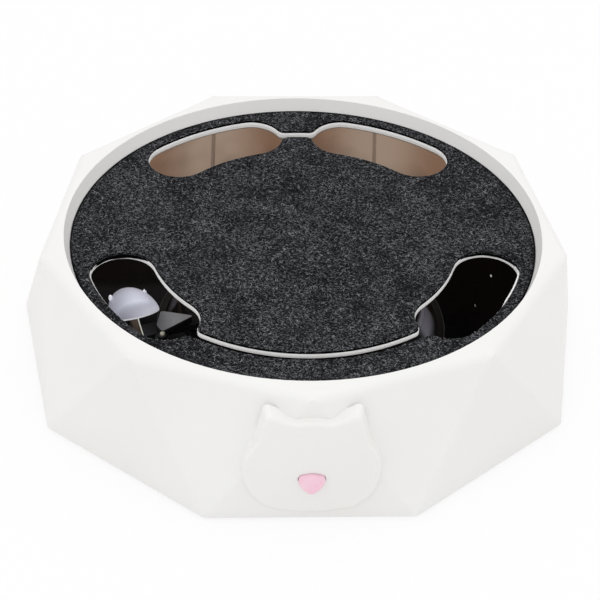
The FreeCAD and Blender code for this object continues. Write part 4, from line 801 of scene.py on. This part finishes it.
def circleOutline(centre, radius, steps):  # centre in millimetres, radius in metres
    turns = [2 * math.pi * step / steps for step in range(steps)]
    return [Vector(centre) / 1000 + Vector((math.cos(turn), math.sin(turn))) * radius for turn in turns]


def makeUpright(name, outline, high, look, slot, *replaced):  # solid over an outline, soft at its upper edge
    low, soften = guardForm["low"], guardForm["soften"]
    levels = ((low, 0.0), (high - soften, 0.0), (high - soften * 0.3, soften * 0.3), (high, soften))
    middle = sum(outline, Vector((0, 0))) / len(outline)
    mesh = bmesh.new()
    rows = []
    for height, inset in levels:
        pulled = [point + (middle - point).normalized() * inset for point in outline]
        rows.append([mesh.verts.new((*flat, height)) for flat in pulled])
    closedRun(mesh, rows)
    mesh.transform(armFrame)
    finishSolid(name, mesh, look, "rotor", slot, *replaced)


def makeGuard():
    values = guardForm
    fan = roundedOutline(values["corners"], values["cornerSteps"])
    lug = circleOutline(values["lug"], values["lugRadius"], values["lugSteps"])
    pin = circleOutline(values["lug"], values["pinRadius"], values["pinSteps"])
    makeUpright("guardSkin", fan, values["high"], guardGrey, "arm_black", "roller_guard")
    makeUpright("guardLug", lug, values["lugHigh"], armBlack, "arm_black")
    makeUpright("guardPin", pin, values["pinHigh"], palePin, "bush_brass", "guard_screw")


makeGuard()
print("stage: guard done")

# Floor, world and lamps; each lamp's values are power, place and size
stageLook = {"floor": (0.9, 0.9, 0.9), "floorHalf": 6, "whiteShare": 0.85, "worldLight": 0.915,
             "lamps": {"keyLamp": (2.6, (-0.9, -0.7, 1.3), 1.2), "fillLamp": (1.2, (1.1, -0.5, 0.9), 1.4),
                       "topLamp": (2.7, (0.1, 0.4, 1.4), 1.6)},
             "target": (0, 0, 0.03)}


def rays(graph, kind):  # 1 for one kind of ray
    return graph.node("ShaderNodeLightPath", {}, {}, "Is " + kind + " Ray")


def makeFloor():
    half = stageLook["floorHalf"]
    mesh = bmesh.new()
    corners = ((-half, -half), (half, -half), (half, half), (-half, half))
    mesh.faces.new([mesh.verts.new((x, y, 0.0)) for x, y in corners])
    data = bpy.data.meshes.new("studioFloor")
    mesh.to_mesh(data)
    mesh.free()
    floor = bpy.data.objects.new("studioFloor", data)
    bpy.context.scene.collection.objects.link(floor)
    look = Surface("floorPale")
    look.set(Base_Color=stageLook["floor"], Roughness=0.9)
    white = look.node("ShaderNodeEmission", {}, {"Color": (1.0, 1.0, 1.0), "Strength": 1.0})
    seen = rays(look, "Camera") + rays(look, "Glossy") + rays(look, "Transmission")
    pale = Field(look, look.shader.outputs[0])
    mixed = look.node("ShaderNodeMixShader", {}, {0: seen * stageLook["whiteShare"], 1: pale, 2: white})
    look.feed(look.tree.nodes["Material Output"].inputs["Surface"], mixed)
    data.materials.append(look.material)


def makeWorld():
    world = bpy.data.worlds.new("studioWorld")
    bpy.context.scene.world = world
    world.use_nodes = True
    graph = Graph(world.node_tree)
    background = graph.tree.nodes["Background"]
    seen = rays(graph, "Camera") + rays(graph, "Transmission")
    graph.feed(background.inputs["Color"], (1.0, 1.0, 1.0))
    graph.feed(background.inputs["Strength"], seen.step(0.0, 1.0, stageLook["worldLight"], 1.0))


def softLamp(name, power, place, size):
    data = bpy.data.lights.new(name, "AREA")
    data.energy = power
    data.size = size
    lamp = bpy.data.objects.new(name, data)
    lamp.location = place
    lamp.rotation_euler = (Vector(stageLook["target"]) - Vector(place)).to_track_quat("-Z", "Y").to_euler()
    bpy.context.scene.collection.objects.link(lamp)


# Camera, fitted to the photo
cameraView = {"place": (-0.0413, -0.7910, 0.6383), "forward": (0.0403, 0.7774, -0.6278), "roll": 1.58,
              "lens": 120.18, "sensor": 36.0, "shiftX": 0.0009, "shiftY": 0.0519}


def makeCamera():
    values = cameraView
    data = bpy.data.cameras.new("photoCamera")
    data.lens = values["lens"]
    data.sensor_width = values["sensor"]
    data.shift_x = values["shiftX"]
    data.shift_y = values["shiftY"]
    data.clip_start = 0.01
    camera = bpy.data.objects.new("photoCamera", data)
    forward = Vector(values["forward"]).normalized()
    level = forward.cross(Vector((0, 0, 1))).normalized()
    above = level.cross(forward)
    turn = math.radians(values["roll"])
    right = level * math.cos(turn) + above * math.sin(turn)
    up = above * math.cos(turn) - level * math.sin(turn)
    place = values["place"]
    camera.matrix_world = Matrix((
        (right.x, up.x, -forward.x, place[0]),
        (right.y, up.y, -forward.y, place[1]),
        (right.z, up.z, -forward.z, place[2]),
        (0, 0, 0, 1)))
    bpy.context.scene.collection.objects.link(camera)
    bpy.context.scene.camera = camera


makeFloor()
makeWorld()
for lampName, lampValues in stageLook["lamps"].items():
    softLamp(lampName, *lampValues)
makeCamera()
bpy.context.scene.view_settings.view_transform = "Standard"
print("stage: studio done")
